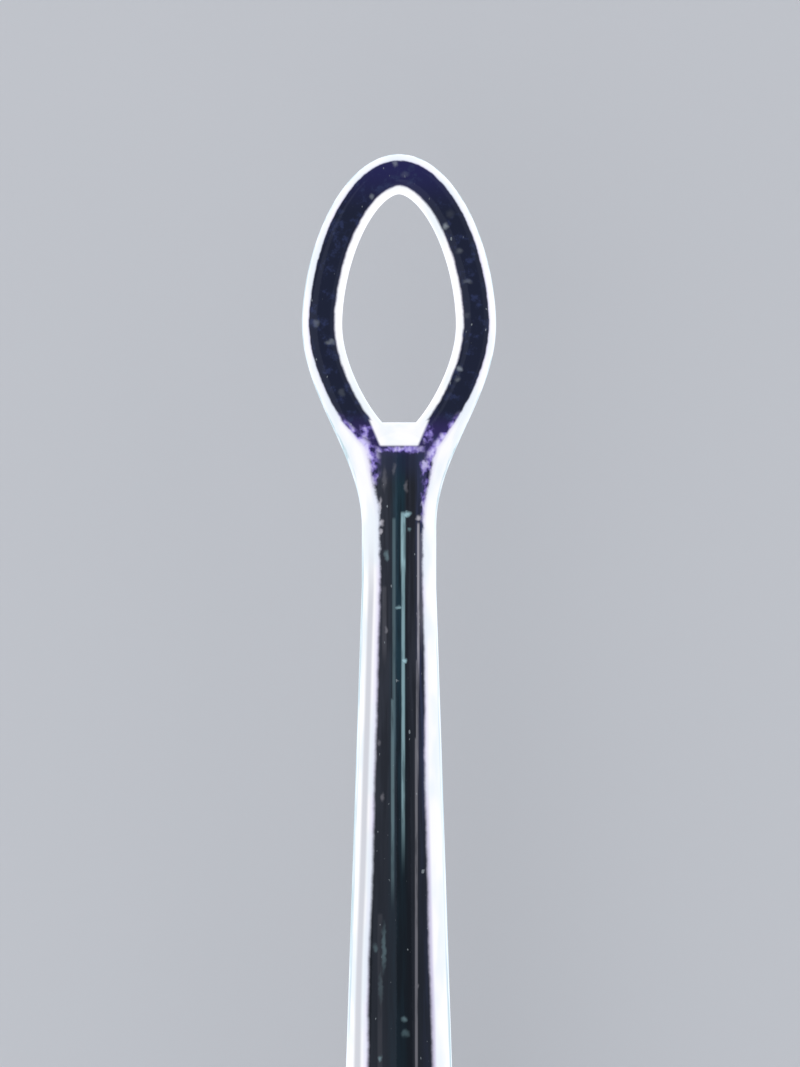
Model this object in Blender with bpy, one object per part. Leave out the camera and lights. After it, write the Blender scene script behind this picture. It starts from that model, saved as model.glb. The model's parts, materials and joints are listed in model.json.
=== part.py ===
"""Lighted ear curette: a clear moulded light guide with a loop tip, pushed on to a battery handle.

The long axis runs along Y with the loop's tip at +Y. The handle lies on its flat underside at Z = 0
with its thumb button on top. The model is in metres. Stations are distances along the axis, counted
from the tail end, and every other place is counted from the axis.
"""

import math

import bmesh
import bpy
import numpy as np
from mathutils import Matrix

# Clearances and fits
SEAT_GAP = 0.0001
SLIDING_GAP = 0.00005
THREAD_GAP = 0.0001
JOINT_LINE = 0.0003
SEAM_GAP = 0.0001
OVERRUN = 0.001
WELD_DISTANCE = 0.000001

# Curette tip and stem
LOOP_WIDTH = 0.0040
LOOP_CROWN = 0.0035
SHOULDER_LENGTH = 0.0042
BAND_WIDTH = 0.000825
BAND_FLARE = 0.000135
BAND_FLARE_REACH = 0.0024
BAND_THICKNESS = 0.00085
BAND_EDGE_RADIUS = 0.0003
EYE_FLOOR_WIDTH = 0.0007
END_FACE_LENGTH = 0.00045
NECK_WIDTH = 0.00153
NECK_LENGTH = 0.0012
STEM_ROOT_WIDTH = 0.0049
CURETTE_LENGTH = 0.0720
LOOP_ROUNDNESS = 1.8
BAND_FLARE_POWER = 6.0
BLEND_POWER = 6.0

# Curette hub
HUB_WALL = 0.00095
HUB_FLOOR = 0.0027
HUB_FLANGE_LENGTH = 0.0012
HUB_FLANGE_LIP = 0.0003
HUB_SHOULDER_LENGTH = 0.0022
HUB_FLUTE_DEPTH = 0.00015
HUB_FLUTES = 8
SOCKET_DISH = 0.0004

# Nose tube, lamp and trim ring
NOSE_TUBE_WALL = 0.00065
NOSE_TUBE_TAIL = 0.0002
NOSE_FLANGE_LIP = 0.0007
NOSE_FLANGE_LENGTH = 0.0014
NOSE_FLANGE_SET_BACK = 0.0057
NOSE_CHAMFER = 0.0003
LAMP_RADIUS = 0.00245
LAMP_LENGTH = 0.0086
LAMP_FLANGE_LIP = 0.0004
LAMP_FLANGE_LENGTH = 0.0010
LAMP_TIP_SET_BACK = 0.0012
LAMP_SHOULDER_LEAD = 0.0009
LEAD_WIDTH = 0.0005
LEAD_PITCH = 0.00254
LEAD_PAD = 0.0013
LEAD_POST_GAP = 0.0012
RETAINER_LENGTH = 0.0036
TRIM_RING_LENGTH = 0.0025
TRIM_RING_EDGE = 0.0004
O_RING_SECTION = 0.0006
O_RING_SET_BACK = 0.0016

# Handle shells
SHELL_REAR_WALL = 0.00065
SHELL_NOSE_WALL = 0.0013
SHELL_WALL = 0.0012
SHELL_SWELL = 0.0006
SHELL_EDGE = 0.0003
UNDERSIDE_FLAT = 0.0005
TOP_FLAT = 0.00035
ROOF_WALL = 0.00085
BELLY_SQUARENESS = 0.35
BELLY_REACH_SHARE = 0.58
REAR_SWELL_SHARE = 0.22
NOSE_TAPER_POWER = 2.2
PART_WALL = 0.0010

# Grip sleeve
GRIP_LENGTH = 0.0090
GRIP_SET_BACK = 0.0021
GRIP_THICKNESS = 0.0008
GRIP_RIB_HEIGHT = 0.00025
GRIP_RIBS = 5

# Screws and their posts
SCREW_RADIUS = 0.0008
SCREW_HEAD_RADIUS = 0.0014
SCREW_HEAD_HEIGHT = 0.0009
SCREW_HEAD_DEPTH = 0.0012
SCREW_LENGTH = 0.0062
POST_WALL = 0.0003
POST_FOOT_LIP = 0.0006
POST_CLEARANCE = 0.0004

# Cells and battery tube
CELL_RADIUS = 0.00395
CELL_HEIGHT = 0.0036
CELL_COUNT = 3
CELL_CAP_RADIUS = 0.0030
CELL_CAP_RISE = 0.0004
CELL_EDGE = 0.0003
CELL_CLEARANCE = 0.00015
TUBE_WALL = 0.0007
TUBE_SET_BACK = 0.0003
TUBE_FLANGE_LIP = 0.00035
TUBE_FLANGE_LENGTH = 0.0012
TUBE_FRONT_WALL = 0.0010
TUBE_FRONT_HOLE = 0.0012
STRIP_THICKNESS = 0.0003
STRIP_WIDTH = 0.0020
STRIP_TAB = 0.0012
STRIP_POST_GAP = 0.00065
STRIP_OVERLAP = 0.0036
STRIP_DOGLEG = 0.0034
CONTACT_RADIUS = 0.0032

# Tail cap, spring plate and spring
CAP_STEP = 0.00015
CAP_LENGTH = 0.0065
CAP_END_ROUND = 0.0012
CAP_FLUTE_DEPTH = 0.00022
CAP_FLUTES = 12
CAP_FLOOR = 0.0018
STUB_LENGTH = 0.0058
STUB_STEP = 0.0004
STUB_WALL = 0.0011
PLATE_THICKNESS = 0.0003
PLATE_SKIRT = 0.0016
SPRING_LENGTH = 0.0042
SPRING_TIP_RADIUS = 0.0016
SPRING_WIRE = 0.0004
SPRING_TURNS = 4

# Circuit board and switch
BOARD_THICKNESS = 0.0008
BOARD_DROP = 0.0016
BOARD_CLEARANCE = 0.0006
BOARD_SIDE_GAP = 0.0001
BOARD_NOSE_GAP = 0.0013
BOARD_LEDGE = 0.0012
SWITCH_STRIP_GAP = 0.0009
SWITCH_POST_GAP = 0.0013
SWITCH_LENGTH = 0.0086
SWITCH_WIDTH = 0.0036
SWITCH_WALL = 0.0002
SWITCH_BASE_HEIGHT = 0.0009
SWITCH_TRAVEL = 0.0025
SLIDER_LENGTH = 0.0030
SLIDER_HEIGHT = 0.0010
SLIDER_POST = 0.0014
SLIDER_POST_RISE = 0.0016
PIN_WIDTH = 0.0005
PIN_HEIGHT = 0.0004
PIN_PITCH = 0.0025
WIPER_THICKNESS = 0.0003
RESISTOR_LENGTH = 0.0032
RESISTOR_WIDTH = 0.0016
RESISTOR_HEIGHT = 0.0006

# Thumb button
BUTTON_LENGTH = 0.0080
BUTTON_WIDTH = 0.0050
BUTTON_HEIGHT = 0.0012
BUTTON_CORNER = 0.0006
BUTTON_RIDGE = 0.0003
BUTTON_RIDGES = 5
BUTTON_STEM_LENGTH = 0.0026
BUTTON_STEM_WIDTH = 0.0016
BUTTON_FOOT_WIDTH = 0.0030
BUTTON_FOOT_CLEARANCE = 0.0003
BUTTON_CLEARANCE = 0.0002
RECESS_DEPTH = 0.0009
RECESS_CORNER = 0.0008

# Facets
FINE_SEGMENTS = 48
ROUND_SEGMENTS = 32
CELL_SEGMENTS = 24
SMALL_SEGMENTS = 16
CORNER_SEGMENTS = 3
SHELL_POINTS = 32
SHELL_STATIONS = 13
CAVITY_STATIONS = 12
GRIP_STATIONS = 6
ROUNDING_POINTS = 4
DOME_POINTS = 5
O_RING_POINTS = 6
SPRING_TURN_POINTS = 9
RIDGE_POINTS = 4
OUTLINE_POINTS = 400
BAND_ROWS = 22
FLOOR_ROWS = 2
SHOULDER_ROWS = 6
STEM_ROWS = 9
CROWN_ROW_CROWDING = 0.1
SHOULDER_ROW_POWER = 1.2
STEM_ROW_POWER = 1.4
BAND_SHARES = (0, 0.07, 0.22, 0.5, 0.78, 0.93, 1)
SHARP_ANGLE = math.radians(35)

# Radii that follow from the fits
TUBE_BORE = CELL_RADIUS + CELL_CLEARANCE
TUBE_RADIUS = TUBE_BORE + TUBE_WALL
THREAD_BORE = TUBE_BORE + STUB_STEP
TUBE_REAR_RADIUS = THREAD_BORE + TUBE_WALL
TUBE_FLANGE_RADIUS = TUBE_REAR_RADIUS + TUBE_FLANGE_LIP
STUB_RADIUS = THREAD_BORE - THREAD_GAP
STUB_BORE = STUB_RADIUS - STUB_WALL
LAMP_FLANGE_RADIUS = LAMP_RADIUS + LAMP_FLANGE_LIP
LAMP_BORE = LAMP_RADIUS + SEAT_GAP
LAMP_FLANGE_BORE = LAMP_FLANGE_RADIUS + SEAT_GAP
NOSE_TUBE_RADIUS = LAMP_FLANGE_BORE + NOSE_TUBE_WALL
SOCKET_RADIUS = NOSE_TUBE_RADIUS + SLIDING_GAP
HUB_RADIUS = SOCKET_RADIUS + HUB_WALL
NOSE_FLANGE_RADIUS = NOSE_TUBE_RADIUS + NOSE_FLANGE_LIP
NOSE_BORE = NOSE_TUBE_RADIUS + SEAT_GAP
SHELL_REAR_RADIUS = TUBE_FLANGE_RADIUS + SEAT_GAP + SHELL_REAR_WALL
SHELL_BELLY_RADIUS = SHELL_REAR_RADIUS + SHELL_SWELL
SHELL_NOSE_RADIUS = NOSE_BORE + SHELL_NOSE_WALL
CAP_RADIUS = SHELL_REAR_RADIUS - CAP_STEP
POST_RADIUS = SCREW_HEAD_RADIUS + SEAT_GAP + POST_WALL
POST_FOOT_RADIUS = POST_RADIUS + POST_FOOT_LIP
SPRING_BASE_RADIUS = TUBE_BORE - STRIP_TAB - SPRING_WIRE / 2
STRIP_OFFSET = POST_RADIUS + STRIP_POST_GAP + STRIP_THICKNESS / 2

# Stations along the axis, in order from the tail
STUB_END = CAP_LENGTH + STUB_LENGTH
SHELL_START = CAP_LENGTH + JOINT_LINE
TUBE_START = SHELL_START + TUBE_SET_BACK
PLATE_START = STUB_END + SEAT_GAP
PLATE_END = PLATE_START + PLATE_THICKNESS
STRIP_START = PLATE_END + SEAT_GAP
TUBE_SHOULDER = STRIP_START + STRIP_THICKNESS + SEAT_GAP
TUBE_FLANGE_START = STRIP_START - SEAT_GAP
TUBE_FLANGE_END = TUBE_SHOULDER + TUBE_FLANGE_LENGTH
SPRING_START = PLATE_END + SEAT_GAP
CELL_START = SPRING_START + SPRING_LENGTH + SEAT_GAP
CELL_PITCH = CELL_HEIGHT + SEAT_GAP
CELL_END = CELL_START + CELL_COUNT * CELL_PITCH
TUBE_FRONT = CELL_END + STRIP_THICKNESS + SEAT_GAP
TUBE_END = TUBE_FRONT + TUBE_FRONT_WALL
REAR_POST_STATION = TUBE_END + POST_CLEARANCE + POST_RADIUS
BOARD_START = REAR_POST_STATION + POST_RADIUS + BOARD_CLEARANCE
SWITCH_STATION = BOARD_START + STRIP_OVERLAP + SWITCH_STRIP_GAP + SWITCH_LENGTH / 2
SLIDER_STATION = SWITCH_STATION + SWITCH_TRAVEL / 2
FRONT_POST_STATION = SWITCH_STATION + SWITCH_LENGTH / 2 + SWITCH_POST_GAP + POST_RADIUS
BOARD_END = FRONT_POST_STATION + POST_RADIUS + LEAD_POST_GAP + LEAD_PAD
NOSE_START = BOARD_END + BOARD_NOSE_GAP
COLLAR_START = NOSE_START + NOSE_TUBE_TAIL
NOSE_FLANGE_START = COLLAR_START + PART_WALL
NOSE_FLANGE_END = NOSE_FLANGE_START + NOSE_FLANGE_LENGTH
SHELL_END = NOSE_FLANGE_END + NOSE_FLANGE_SET_BACK
SHELL_LENGTH = SHELL_END - SHELL_START
GRIP_END = SHELL_END - GRIP_SET_BACK
GRIP_START = GRIP_END - GRIP_LENGTH
TRIM_START = SHELL_END + SEAT_GAP
HUB_START = TRIM_START + TRIM_RING_LENGTH + JOINT_LINE
O_RING_STATION = HUB_START + O_RING_SET_BACK
GROOVE_START = O_RING_STATION - O_RING_SECTION / 2 - SEAT_GAP
GROOVE_END = O_RING_STATION + O_RING_SECTION / 2 + SEAT_GAP
LAMP_SHOULDER = GROOVE_START - LAMP_SHOULDER_LEAD
LAMP_START = LAMP_SHOULDER - SEAT_GAP - LAMP_FLANGE_LENGTH
RETAINER_START = LAMP_START - SEAT_GAP - RETAINER_LENGTH
NOSE_END = LAMP_START + LAMP_LENGTH + LAMP_TIP_SET_BACK
SOCKET_DEPTH = NOSE_END - HUB_START + JOINT_LINE
HUB_LENGTH = SOCKET_DEPTH + HUB_FLOOR
TIP_STATION = HUB_START + CURETTE_LENGTH
TOTAL_LENGTH = TIP_STATION

# Heights from the axis, which lies AXIS_HEIGHT above the underside
AXIS_HEIGHT = SHELL_BELLY_RADIUS - UNDERSIDE_FLAT
SHELL_TOP_HEIGHT = SHELL_BELLY_RADIUS - TOP_FLAT
BOARD_TOP = -BOARD_DROP
PIN_BOTTOM = BOARD_TOP + SEAT_GAP
SWITCH_BOTTOM = PIN_BOTTOM + PIN_HEIGHT + SEAT_GAP
WIPER_BOTTOM = SWITCH_BOTTOM + SWITCH_BASE_HEIGHT + SEAT_GAP
SLIDER_BOTTOM = WIPER_BOTTOM + WIPER_THICKNESS + SEAT_GAP
FRAME_CEILING = SLIDER_BOTTOM + SLIDER_HEIGHT + SEAT_GAP
SWITCH_TOP = FRAME_CEILING + SWITCH_WALL
SLIDER_TOP = SWITCH_TOP + SLIDER_POST_RISE
RECESS_FLOOR = SHELL_TOP_HEIGHT - RECESS_DEPTH
CAVITY_TOP_HEIGHT = RECESS_FLOOR - ROOF_WALL
BUTTON_BOTTOM = RECESS_FLOOR + SEAT_GAP
STRIP_BOTTOM = BOARD_TOP + SEAT_GAP
STRIP_TOP = STRIP_BOTTOM + STRIP_WIDTH


def clear_scene():
    for old in list(bpy.data.objects):
        bpy.data.objects.remove(old, do_unlink=True)


def material(name, colour, roughness, metallic=0.0, transmission=0.0):
    """A Principled material, shared by every piece that is made of it."""
    found = bpy.data.materials.get(name)
    if found:
        return found
    made = bpy.data.materials.new(name)
    made.use_nodes = True
    shader = made.node_tree.nodes["Principled BSDF"]
    shader.inputs["Base Color"].default_value = (*colour, 1.0)
    shader.inputs["Roughness"].default_value = roughness
    shader.inputs["Metallic"].default_value = metallic
    shader.inputs["Transmission Weight"].default_value = transmission
    made.diffuse_color = (*colour, 1.0)
    return made


def clear_acrylic():
    return material("clear_acrylic", (0.82, 0.85, 0.92), 0.04, transmission=1.0)


def shell_plastic():
    return material("shell_plastic", (0.80, 0.81, 0.83), 0.42)


def soft_rubber():
    return material("soft_rubber", (0.13, 0.15, 0.18), 0.75)


def black_rubber():
    return material("black_rubber", (0.03, 0.03, 0.03), 0.6)


def dark_plastic():
    return material("dark_plastic", (0.05, 0.05, 0.055), 0.45)


def button_plastic():
    return material("button_plastic", (0.16, 0.20, 0.27), 0.4)


def bright_aluminium():
    return material("bright_aluminium", (0.78, 0.79, 0.80), 0.25, metallic=1.0)


def nickel():
    return material("nickel", (0.70, 0.68, 0.64), 0.22, metallic=1.0)


def board_laminate():
    return material("board_laminate", (0.02, 0.16, 0.07), 0.4)


def lamp_epoxy():
    return material("lamp_epoxy", (0.93, 0.94, 0.97), 0.05, transmission=0.9)


def axis_empty():
    """The empty on the long axis at the tail end, which carries every piece."""
    found = bpy.data.objects.get("long_axis")
    if found:
        return found
    empty = bpy.data.objects.new("long_axis", None)
    empty.location = (0, -TOTAL_LENGTH / 2, AXIS_HEIGHT)
    bpy.context.scene.collection.objects.link(empty)
    return empty


def finish_mesh(name, bm, look, station=0.0):
    """Closes a bmesh into a named object whose origin is on the axis at the station."""
    bmesh.ops.remove_doubles(bm, verts=bm.verts, dist=WELD_DISTANCE)
    bmesh.ops.recalc_face_normals(bm, faces=bm.faces)
    mesh = bpy.data.meshes.new(name)
    bm.to_mesh(mesh)
    bm.free()
    mesh.shade_smooth()
    mesh.set_sharp_from_angle(angle=SHARP_ANGLE)
    piece = bpy.data.objects.new(name, mesh)
    piece.parent = axis_empty()
    piece.location = (0, station, 0)
    if look:
        mesh.materials.append(look)
    else:
        piece.hide_render = True
        piece.display_type = "WIRE"
    bpy.context.scene.collection.objects.link(piece)
    return piece


def combine(piece, other, operation):
    """Joins, cuts or crosses piece with another object, which then stays as a hidden guide."""
    step = piece.modifiers.new(other.name, "BOOLEAN")
    step.operation = operation
    step.solver = "EXACT"
    step.object = other
    other.hide_render = True
    other.display_type = "WIRE"


def cut(piece, *cutters):
    for cutter in cutters:
        combine(piece, cutter, "DIFFERENCE")


def join(piece, *additions):
    for addition in additions:
        combine(piece, addition, "UNION")


def turned(name, profile, look, station=0.0, segments=ROUND_SEGMENTS, flutes=None):
    """A profile of (distance, radius) points spun about the long axis. Ends at radius 0 close it, and
    otherwise the profile is a closed outline. flutes is (count, depth, radius, start, end): a ripple
    of that many waves in the wall at that radius between two distances."""
    bm = bmesh.new()
    points = [bm.verts.new((radius, distance, 0)) for distance, radius in profile]
    edges = [bm.edges.new(pair) for pair in zip(points, points[1:])]
    if profile[0][1] > 0:
        edges.append(bm.edges.new((points[-1], points[0])))
    bmesh.ops.spin(
        bm,
        geom=points + edges,
        cent=(0, 0, 0),
        axis=(0, 1, 0),
        angle=2 * math.pi,
        steps=segments,
        use_merge=True,
    )
    if flutes:
        count, depth, outer, start, end = flutes
        for vert in bm.verts:
            radius = math.hypot(vert.co.x, vert.co.z)
            if radius > outer - WELD_DISTANCE and start < vert.co.y < end:
                ripple = (1 - math.cos(count * math.atan2(vert.co.z, vert.co.x))) / 2
                scale = 1 - depth * ripple / radius
                vert.co.x *= scale
                vert.co.z *= scale
    return finish_mesh(name, bm, look, station)


def disc_piece(name, radius, thickness, look, station):
    """A plain disc or plug on the long axis."""
    profile = [(0, 0), (0, radius), (thickness, radius), (thickness, 0)]
    return turned(name, profile, look, station, CELL_SEGMENTS)


def ring_stack(name, rings, look, station=0.0, closed_ends=True):
    """A solid through rings of points, each ring the same length. Without closed ends the last ring
    joins the first, as on a sleeve."""
    bm = bmesh.new()
    rows = [[bm.verts.new(point) for point in ring] for ring in rings]
    pairs = list(zip(rows, rows[1:]))
    if not closed_ends:
        pairs.append((rows[-1], rows[0]))
    for lower, upper in pairs:
        for i in range(len(lower)):
            j = (i + 1) % len(lower)
            bm.faces.new((lower[i], lower[j], upper[j], upper[i]))
    if closed_ends:
        bm.faces.new(rows[0])
        bm.faces.new(rows[-1])
    return finish_mesh(name, bm, look, station)


def block(name, low, high, look=None, edge=0.0, station=0.0):
    """A box between two corners (x, distance, height), with its long edges rounded if edge is given."""
    bm = bmesh.new()
    bmesh.ops.create_cube(bm, size=1)
    size = [b - a for a, b in zip(low, high)]
    centre = [(a + b) / 2 for a, b in zip(low, high)]
    bmesh.ops.transform(bm, matrix=Matrix.Diagonal((*size, 1)), verts=bm.verts)
    bmesh.ops.translate(bm, vec=centre, verts=bm.verts)
    if edge:
        upright = [
            e for e in bm.edges if abs(e.verts[0].co.z - e.verts[1].co.z) > size[2] / 2
        ]
        bmesh.ops.bevel(
            bm,
            geom=upright,
            offset=edge,
            segments=CORNER_SEGMENTS,
            affect="EDGES",
            profile=0.5,
        )
    return finish_mesh(name, bm, look, station)


def upright_rod(name, radius, low, high, station, look=None):
    """A round rod that stands square to the long axis, from one height to another."""
    bm = bmesh.new()
    bmesh.ops.create_cone(
        bm,
        cap_ends=True,
        segments=SMALL_SEGMENTS,
        radius1=radius,
        radius2=radius,
        depth=high - low,
        matrix=Matrix.Translation((0, 0, (low + high) / 2)),
    )
    return finish_mesh(name, bm, look, station)


def rod_ring(name, radius, section, station, look):
    """An O-ring: a circle of the section's radius spun about the long axis."""
    turns = [2 * math.pi * i / O_RING_POINTS for i in range(O_RING_POINTS)]
    circle = [
        (section / 2 * math.sin(turn), radius + section / 2 * math.cos(turn))
        for turn in turns
    ]
    return turned(name, circle, look, station)


def edge_rise(distance):
    """Share of full height at a distance in from a rounded edge: a quarter circle, then level."""
    inside = np.clip(distance / BAND_EDGE_RADIUS, 0, 1)
    return np.sqrt(1 - (1 - inside) ** 2)


def stem_radius(back):
    """Radius of the round stem at a distance back from the tip: an even neck, then a straight
    taper."""
    neck_end = LOOP_CROWN + SHOULDER_LENGTH + NECK_LENGTH
    length = CURETTE_LENGTH - HUB_LENGTH - neck_end
    along = np.clip((back - neck_end) / length, 0, None)
    growth = (STEM_ROOT_WIDTH - NECK_WIDTH) / 2
    return NECK_WIDTH / 2 + growth * along


def plan_outline():
    """The plan outline from the tip to the neck as (x, back) arrays: a blunt oval crown, then a
    shoulder that falls to the neck along half a cosine wave."""
    turn = np.linspace(0, math.pi / 2, OUTLINE_POINTS)
    crown_x = LOOP_WIDTH / 2 * np.sqrt(1 - np.cos(turn) ** LOOP_ROUNDNESS)
    crown_back = LOOP_CROWN * (1 - np.cos(turn))
    along = np.linspace(0, 1, OUTLINE_POINTS)[1:]
    fall = (1 + np.cos(math.pi * along)) / 2
    shoulder_x = NECK_WIDTH / 2 + (LOOP_WIDTH - NECK_WIDTH) / 2 * fall
    shoulder_back = LOOP_CROWN + SHOULDER_LENGTH * along
    return (
        np.concatenate([crown_x, shoulder_x]),
        np.concatenate([crown_back, shoulder_back]),
    )


def inner_edge(x, back):
    """The outline moved inwards by the band's width, square to itself. The band widens where its
    two arms run together."""
    step_x, step_back = np.gradient(x), np.gradient(back)
    step_x[0], step_back[0] = 1, 0
    length = np.hypot(step_x, step_back)
    towards_neck = np.clip((back - LOOP_CROWN) / BAND_FLARE_REACH, 0, None)
    width = BAND_WIDTH + BAND_FLARE * towards_neck**BAND_FLARE_POWER
    return x - width * step_back / length, back + width * step_x / length


def tip_plan():
    """Rows across half the tip, each from its outer point to its inner point, as (x, back) arrays.
    The inner points follow the eye's edge, cross its flat floor to the centre line and then run down
    that line."""
    x, back = plan_outline()
    eye_x, eye_back = inner_edge(x, back)
    past_crown = np.arange(len(x)) > len(x) // 2
    last = int(np.argmax((eye_x < EYE_FLOOR_WIDTH / 2) & past_crown))
    step = np.linspace(0, 1, BAND_ROWS + 1)
    crowded = step - CROWN_ROW_CROWDING * np.sin(2 * math.pi * step) / math.pi
    chosen = np.round(crowded * last).astype(int)
    outer = [(x[i], back[i]) for i in chosen]
    inner = [(max(eye_x[i], 0), eye_back[i]) for i in chosen]
    inner[0] = (0, eye_back[0])
    floor_back = eye_back[last]
    inner[-1] = (EYE_FLOOR_WIDTH / 2, floor_back)
    rest = np.linspace(last, len(x) - 1, FLOOR_ROWS + SHOULDER_ROWS + 1)[1:]
    neck_back = back[-1]
    for row, i in enumerate(np.round(rest).astype(int), start=1):
        outer.append((x[i], back[i]))
        if row <= FLOOR_ROWS:
            inner.append((EYE_FLOOR_WIDTH / 2 * (1 - row / FLOOR_ROWS), floor_back))
        else:
            share = ((row - FLOOR_ROWS) / SHOULDER_ROWS) ** SHOULDER_ROW_POWER
            inner.append((0, floor_back + (neck_back - floor_back) * share))
    root = CURETTE_LENGTH - HUB_LENGTH + HUB_SHOULDER_LENGTH
    for share in np.linspace(0, 1, STEM_ROWS + 1)[1:] ** STEM_ROW_POWER:
        place = neck_back + (root - neck_back) * share
        outer.append((float(stem_radius(place)), place))
        inner.append((0, place))
    return np.array(outer), np.array(inner)


def tip_heights(x, back, from_edge, floor_back, in_loop, along_band):
    """Height of the upper surface above the mid plane: the flat band with rounded edges, and the
    round stem that rises out of it along the sloped end face behind the eye."""
    side = np.clip(np.abs(x) - EYE_FLOOR_WIDTH / 2, 0, None)
    from_floor = np.hypot(side, np.clip(back - floor_back, 0, None))
    from_eye = np.where(in_loop, along_band, from_floor)
    neck_start = LOOP_CROWN + SHOULDER_LENGTH
    fade = np.clip((neck_start + NECK_LENGTH - back) / NECK_LENGTH, 0, 1)
    band = BAND_THICKNESS / 2 * edge_rise(np.minimum(from_edge, from_eye)) * fade
    ramp = np.clip((back - floor_back) / END_FACE_LENGTH, 0, 1)
    stem = ramp * np.sqrt(np.clip(stem_radius(back) ** 2 - x**2, 0, None))
    return (band**BLEND_POWER + stem**BLEND_POWER) ** (1 / BLEND_POWER)


def light_guide():
    """The loop, neck and stem as one closed skin: a quarter is worked out on a grid of rows from the
    tip back and of shares from the outer edge in, and is mirrored both ways."""
    outer, inner = tip_plan()
    round_shares = 1 - np.cos(np.linspace(0, math.pi / 2, len(BAND_SHARES)))
    rows = np.arange(len(outer))
    floor_row = BAND_ROWS + FLOOR_ROWS
    blend = np.clip((rows - BAND_ROWS) / (2 * FLOOR_ROWS), 0, 1)[:, None]
    share = (1 - blend) * np.array(BAND_SHARES) + blend * round_shares
    plan = outer[:, None] * (1 - share[..., None]) + inner[:, None] * share[..., None]
    x, back = plan[..., 0], plan[..., 1]
    width = np.linalg.norm(outer - inner, axis=1)[:, None]
    in_loop = rows[:, None] <= BAND_ROWS
    floor_back = inner[floor_row, 1]
    height = tip_heights(
        x, back, share * width, floor_back, in_loop, (1 - share) * width
    )
    height[:, 0] = 0
    height[: floor_row + 1, -1] = 0
    x[0] = 0
    x[floor_row:, -1] = 0
    bm = bmesh.new()
    for side in (1, -1):
        for face in (1, -1):
            grid = [
                [
                    bm.verts.new((side * a, CURETTE_LENGTH - b, face * c))
                    for a, b, c in zip(*line)
                ]
                for line in zip(x, back, height)
            ]
            for first, second in zip(grid, grid[1:]):
                for i in range(len(first) - 1):
                    bm.faces.new((first[i], first[i + 1], second[i + 1], second[i]))
    bmesh.ops.remove_doubles(bm, verts=bm.verts, dist=WELD_DISTANCE)
    open_edges = [edge for edge in bm.edges if edge.is_boundary]
    bmesh.ops.contextual_create(bm, geom=open_edges)
    return finish_mesh("light_guide", bm, None, HUB_START)


def curette():
    """The whole clear moulding: the hollow fluted hub, with the light guide joined to it."""
    shoulder = HUB_LENGTH - HUB_SHOULDER_LENGTH
    flange = HUB_RADIUS + HUB_FLANGE_LIP
    front = float(stem_radius(CURETTE_LENGTH - HUB_LENGTH))
    profile = [
        (SOCKET_DEPTH + SOCKET_DISH, 0),
        (SOCKET_DEPTH, SOCKET_RADIUS),
        (HUB_FLANGE_LENGTH, SOCKET_RADIUS),
        (0, SOCKET_RADIUS + SEAT_GAP),
        (0, flange - SEAT_GAP),
        (HUB_FLANGE_LENGTH / 2, flange),
        (HUB_FLANGE_LENGTH, flange - SEAT_GAP),
        (HUB_FLANGE_LENGTH + HUB_FLANGE_LIP, HUB_RADIUS),
        (shoulder - HUB_FLANGE_LENGTH, HUB_RADIUS),
        (shoulder, HUB_RADIUS - HUB_FLANGE_LIP),
        (HUB_LENGTH - HUB_SHOULDER_LENGTH / 2, (HUB_RADIUS + front) / 2),
        (HUB_LENGTH, front + SEAT_GAP),
        (HUB_LENGTH, 0),
    ]
    ripple = (
        HUB_FLUTES,
        HUB_FLUTE_DEPTH,
        HUB_RADIUS,
        HUB_FLANGE_LENGTH + HUB_FLANGE_LIP - WELD_DISTANCE,
        shoulder,
    )
    hub = turned("curette", profile, clear_acrylic(), HUB_START, flutes=ripple)
    join(hub, light_guide())
    return hub


def nose_tube():
    """The turned spigot: flange held by the shells, lamp bore, O-ring groove under the hub."""
    length = NOSE_END - NOSE_START
    flange_start = NOSE_FLANGE_START - NOSE_START
    flange_end = NOSE_FLANGE_END - NOSE_START
    groove_start = GROOVE_START - NOSE_START
    groove_end = GROOVE_END - NOSE_START
    groove_floor = NOSE_TUBE_RADIUS - O_RING_SECTION - SEAT_GAP + SLIDING_GAP / 2
    shoulder = LAMP_SHOULDER - NOSE_START
    profile = [
        (0, LAMP_FLANGE_BORE),
        (shoulder, LAMP_FLANGE_BORE),
        (shoulder, LAMP_BORE),
        (length, LAMP_BORE),
        (length, NOSE_TUBE_RADIUS - NOSE_CHAMFER),
        (length - NOSE_CHAMFER, NOSE_TUBE_RADIUS),
        (groove_end, NOSE_TUBE_RADIUS),
        (groove_end, groove_floor),
        (groove_start, groove_floor),
        (groove_start, NOSE_TUBE_RADIUS),
        (flange_end, NOSE_TUBE_RADIUS),
        (flange_end, NOSE_FLANGE_RADIUS),
        (flange_start, NOSE_FLANGE_RADIUS),
        (flange_start, NOSE_TUBE_RADIUS),
        (0, NOSE_TUBE_RADIUS),
    ]
    turned("nose_tube", profile, bright_aluminium(), NOSE_START)
    ring_radius = NOSE_TUBE_RADIUS + SLIDING_GAP / 2 - O_RING_SECTION / 2
    rod_ring(
        "nose_o_ring",
        ring_radius,
        O_RING_SECTION,
        O_RING_STATION,
        black_rubber(),
    )


def trim_ring():
    outer = SHELL_NOSE_RADIUS
    profile = [
        (0, NOSE_BORE),
        (TRIM_RING_LENGTH, NOSE_BORE),
        (TRIM_RING_LENGTH, outer - TRIM_RING_EDGE),
        (TRIM_RING_LENGTH - TRIM_RING_EDGE, outer),
        (TRIM_RING_EDGE, outer),
        (0, outer - TRIM_RING_EDGE),
    ]
    turned("trim_ring", profile, bright_aluminium(), TRIM_START)


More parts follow.
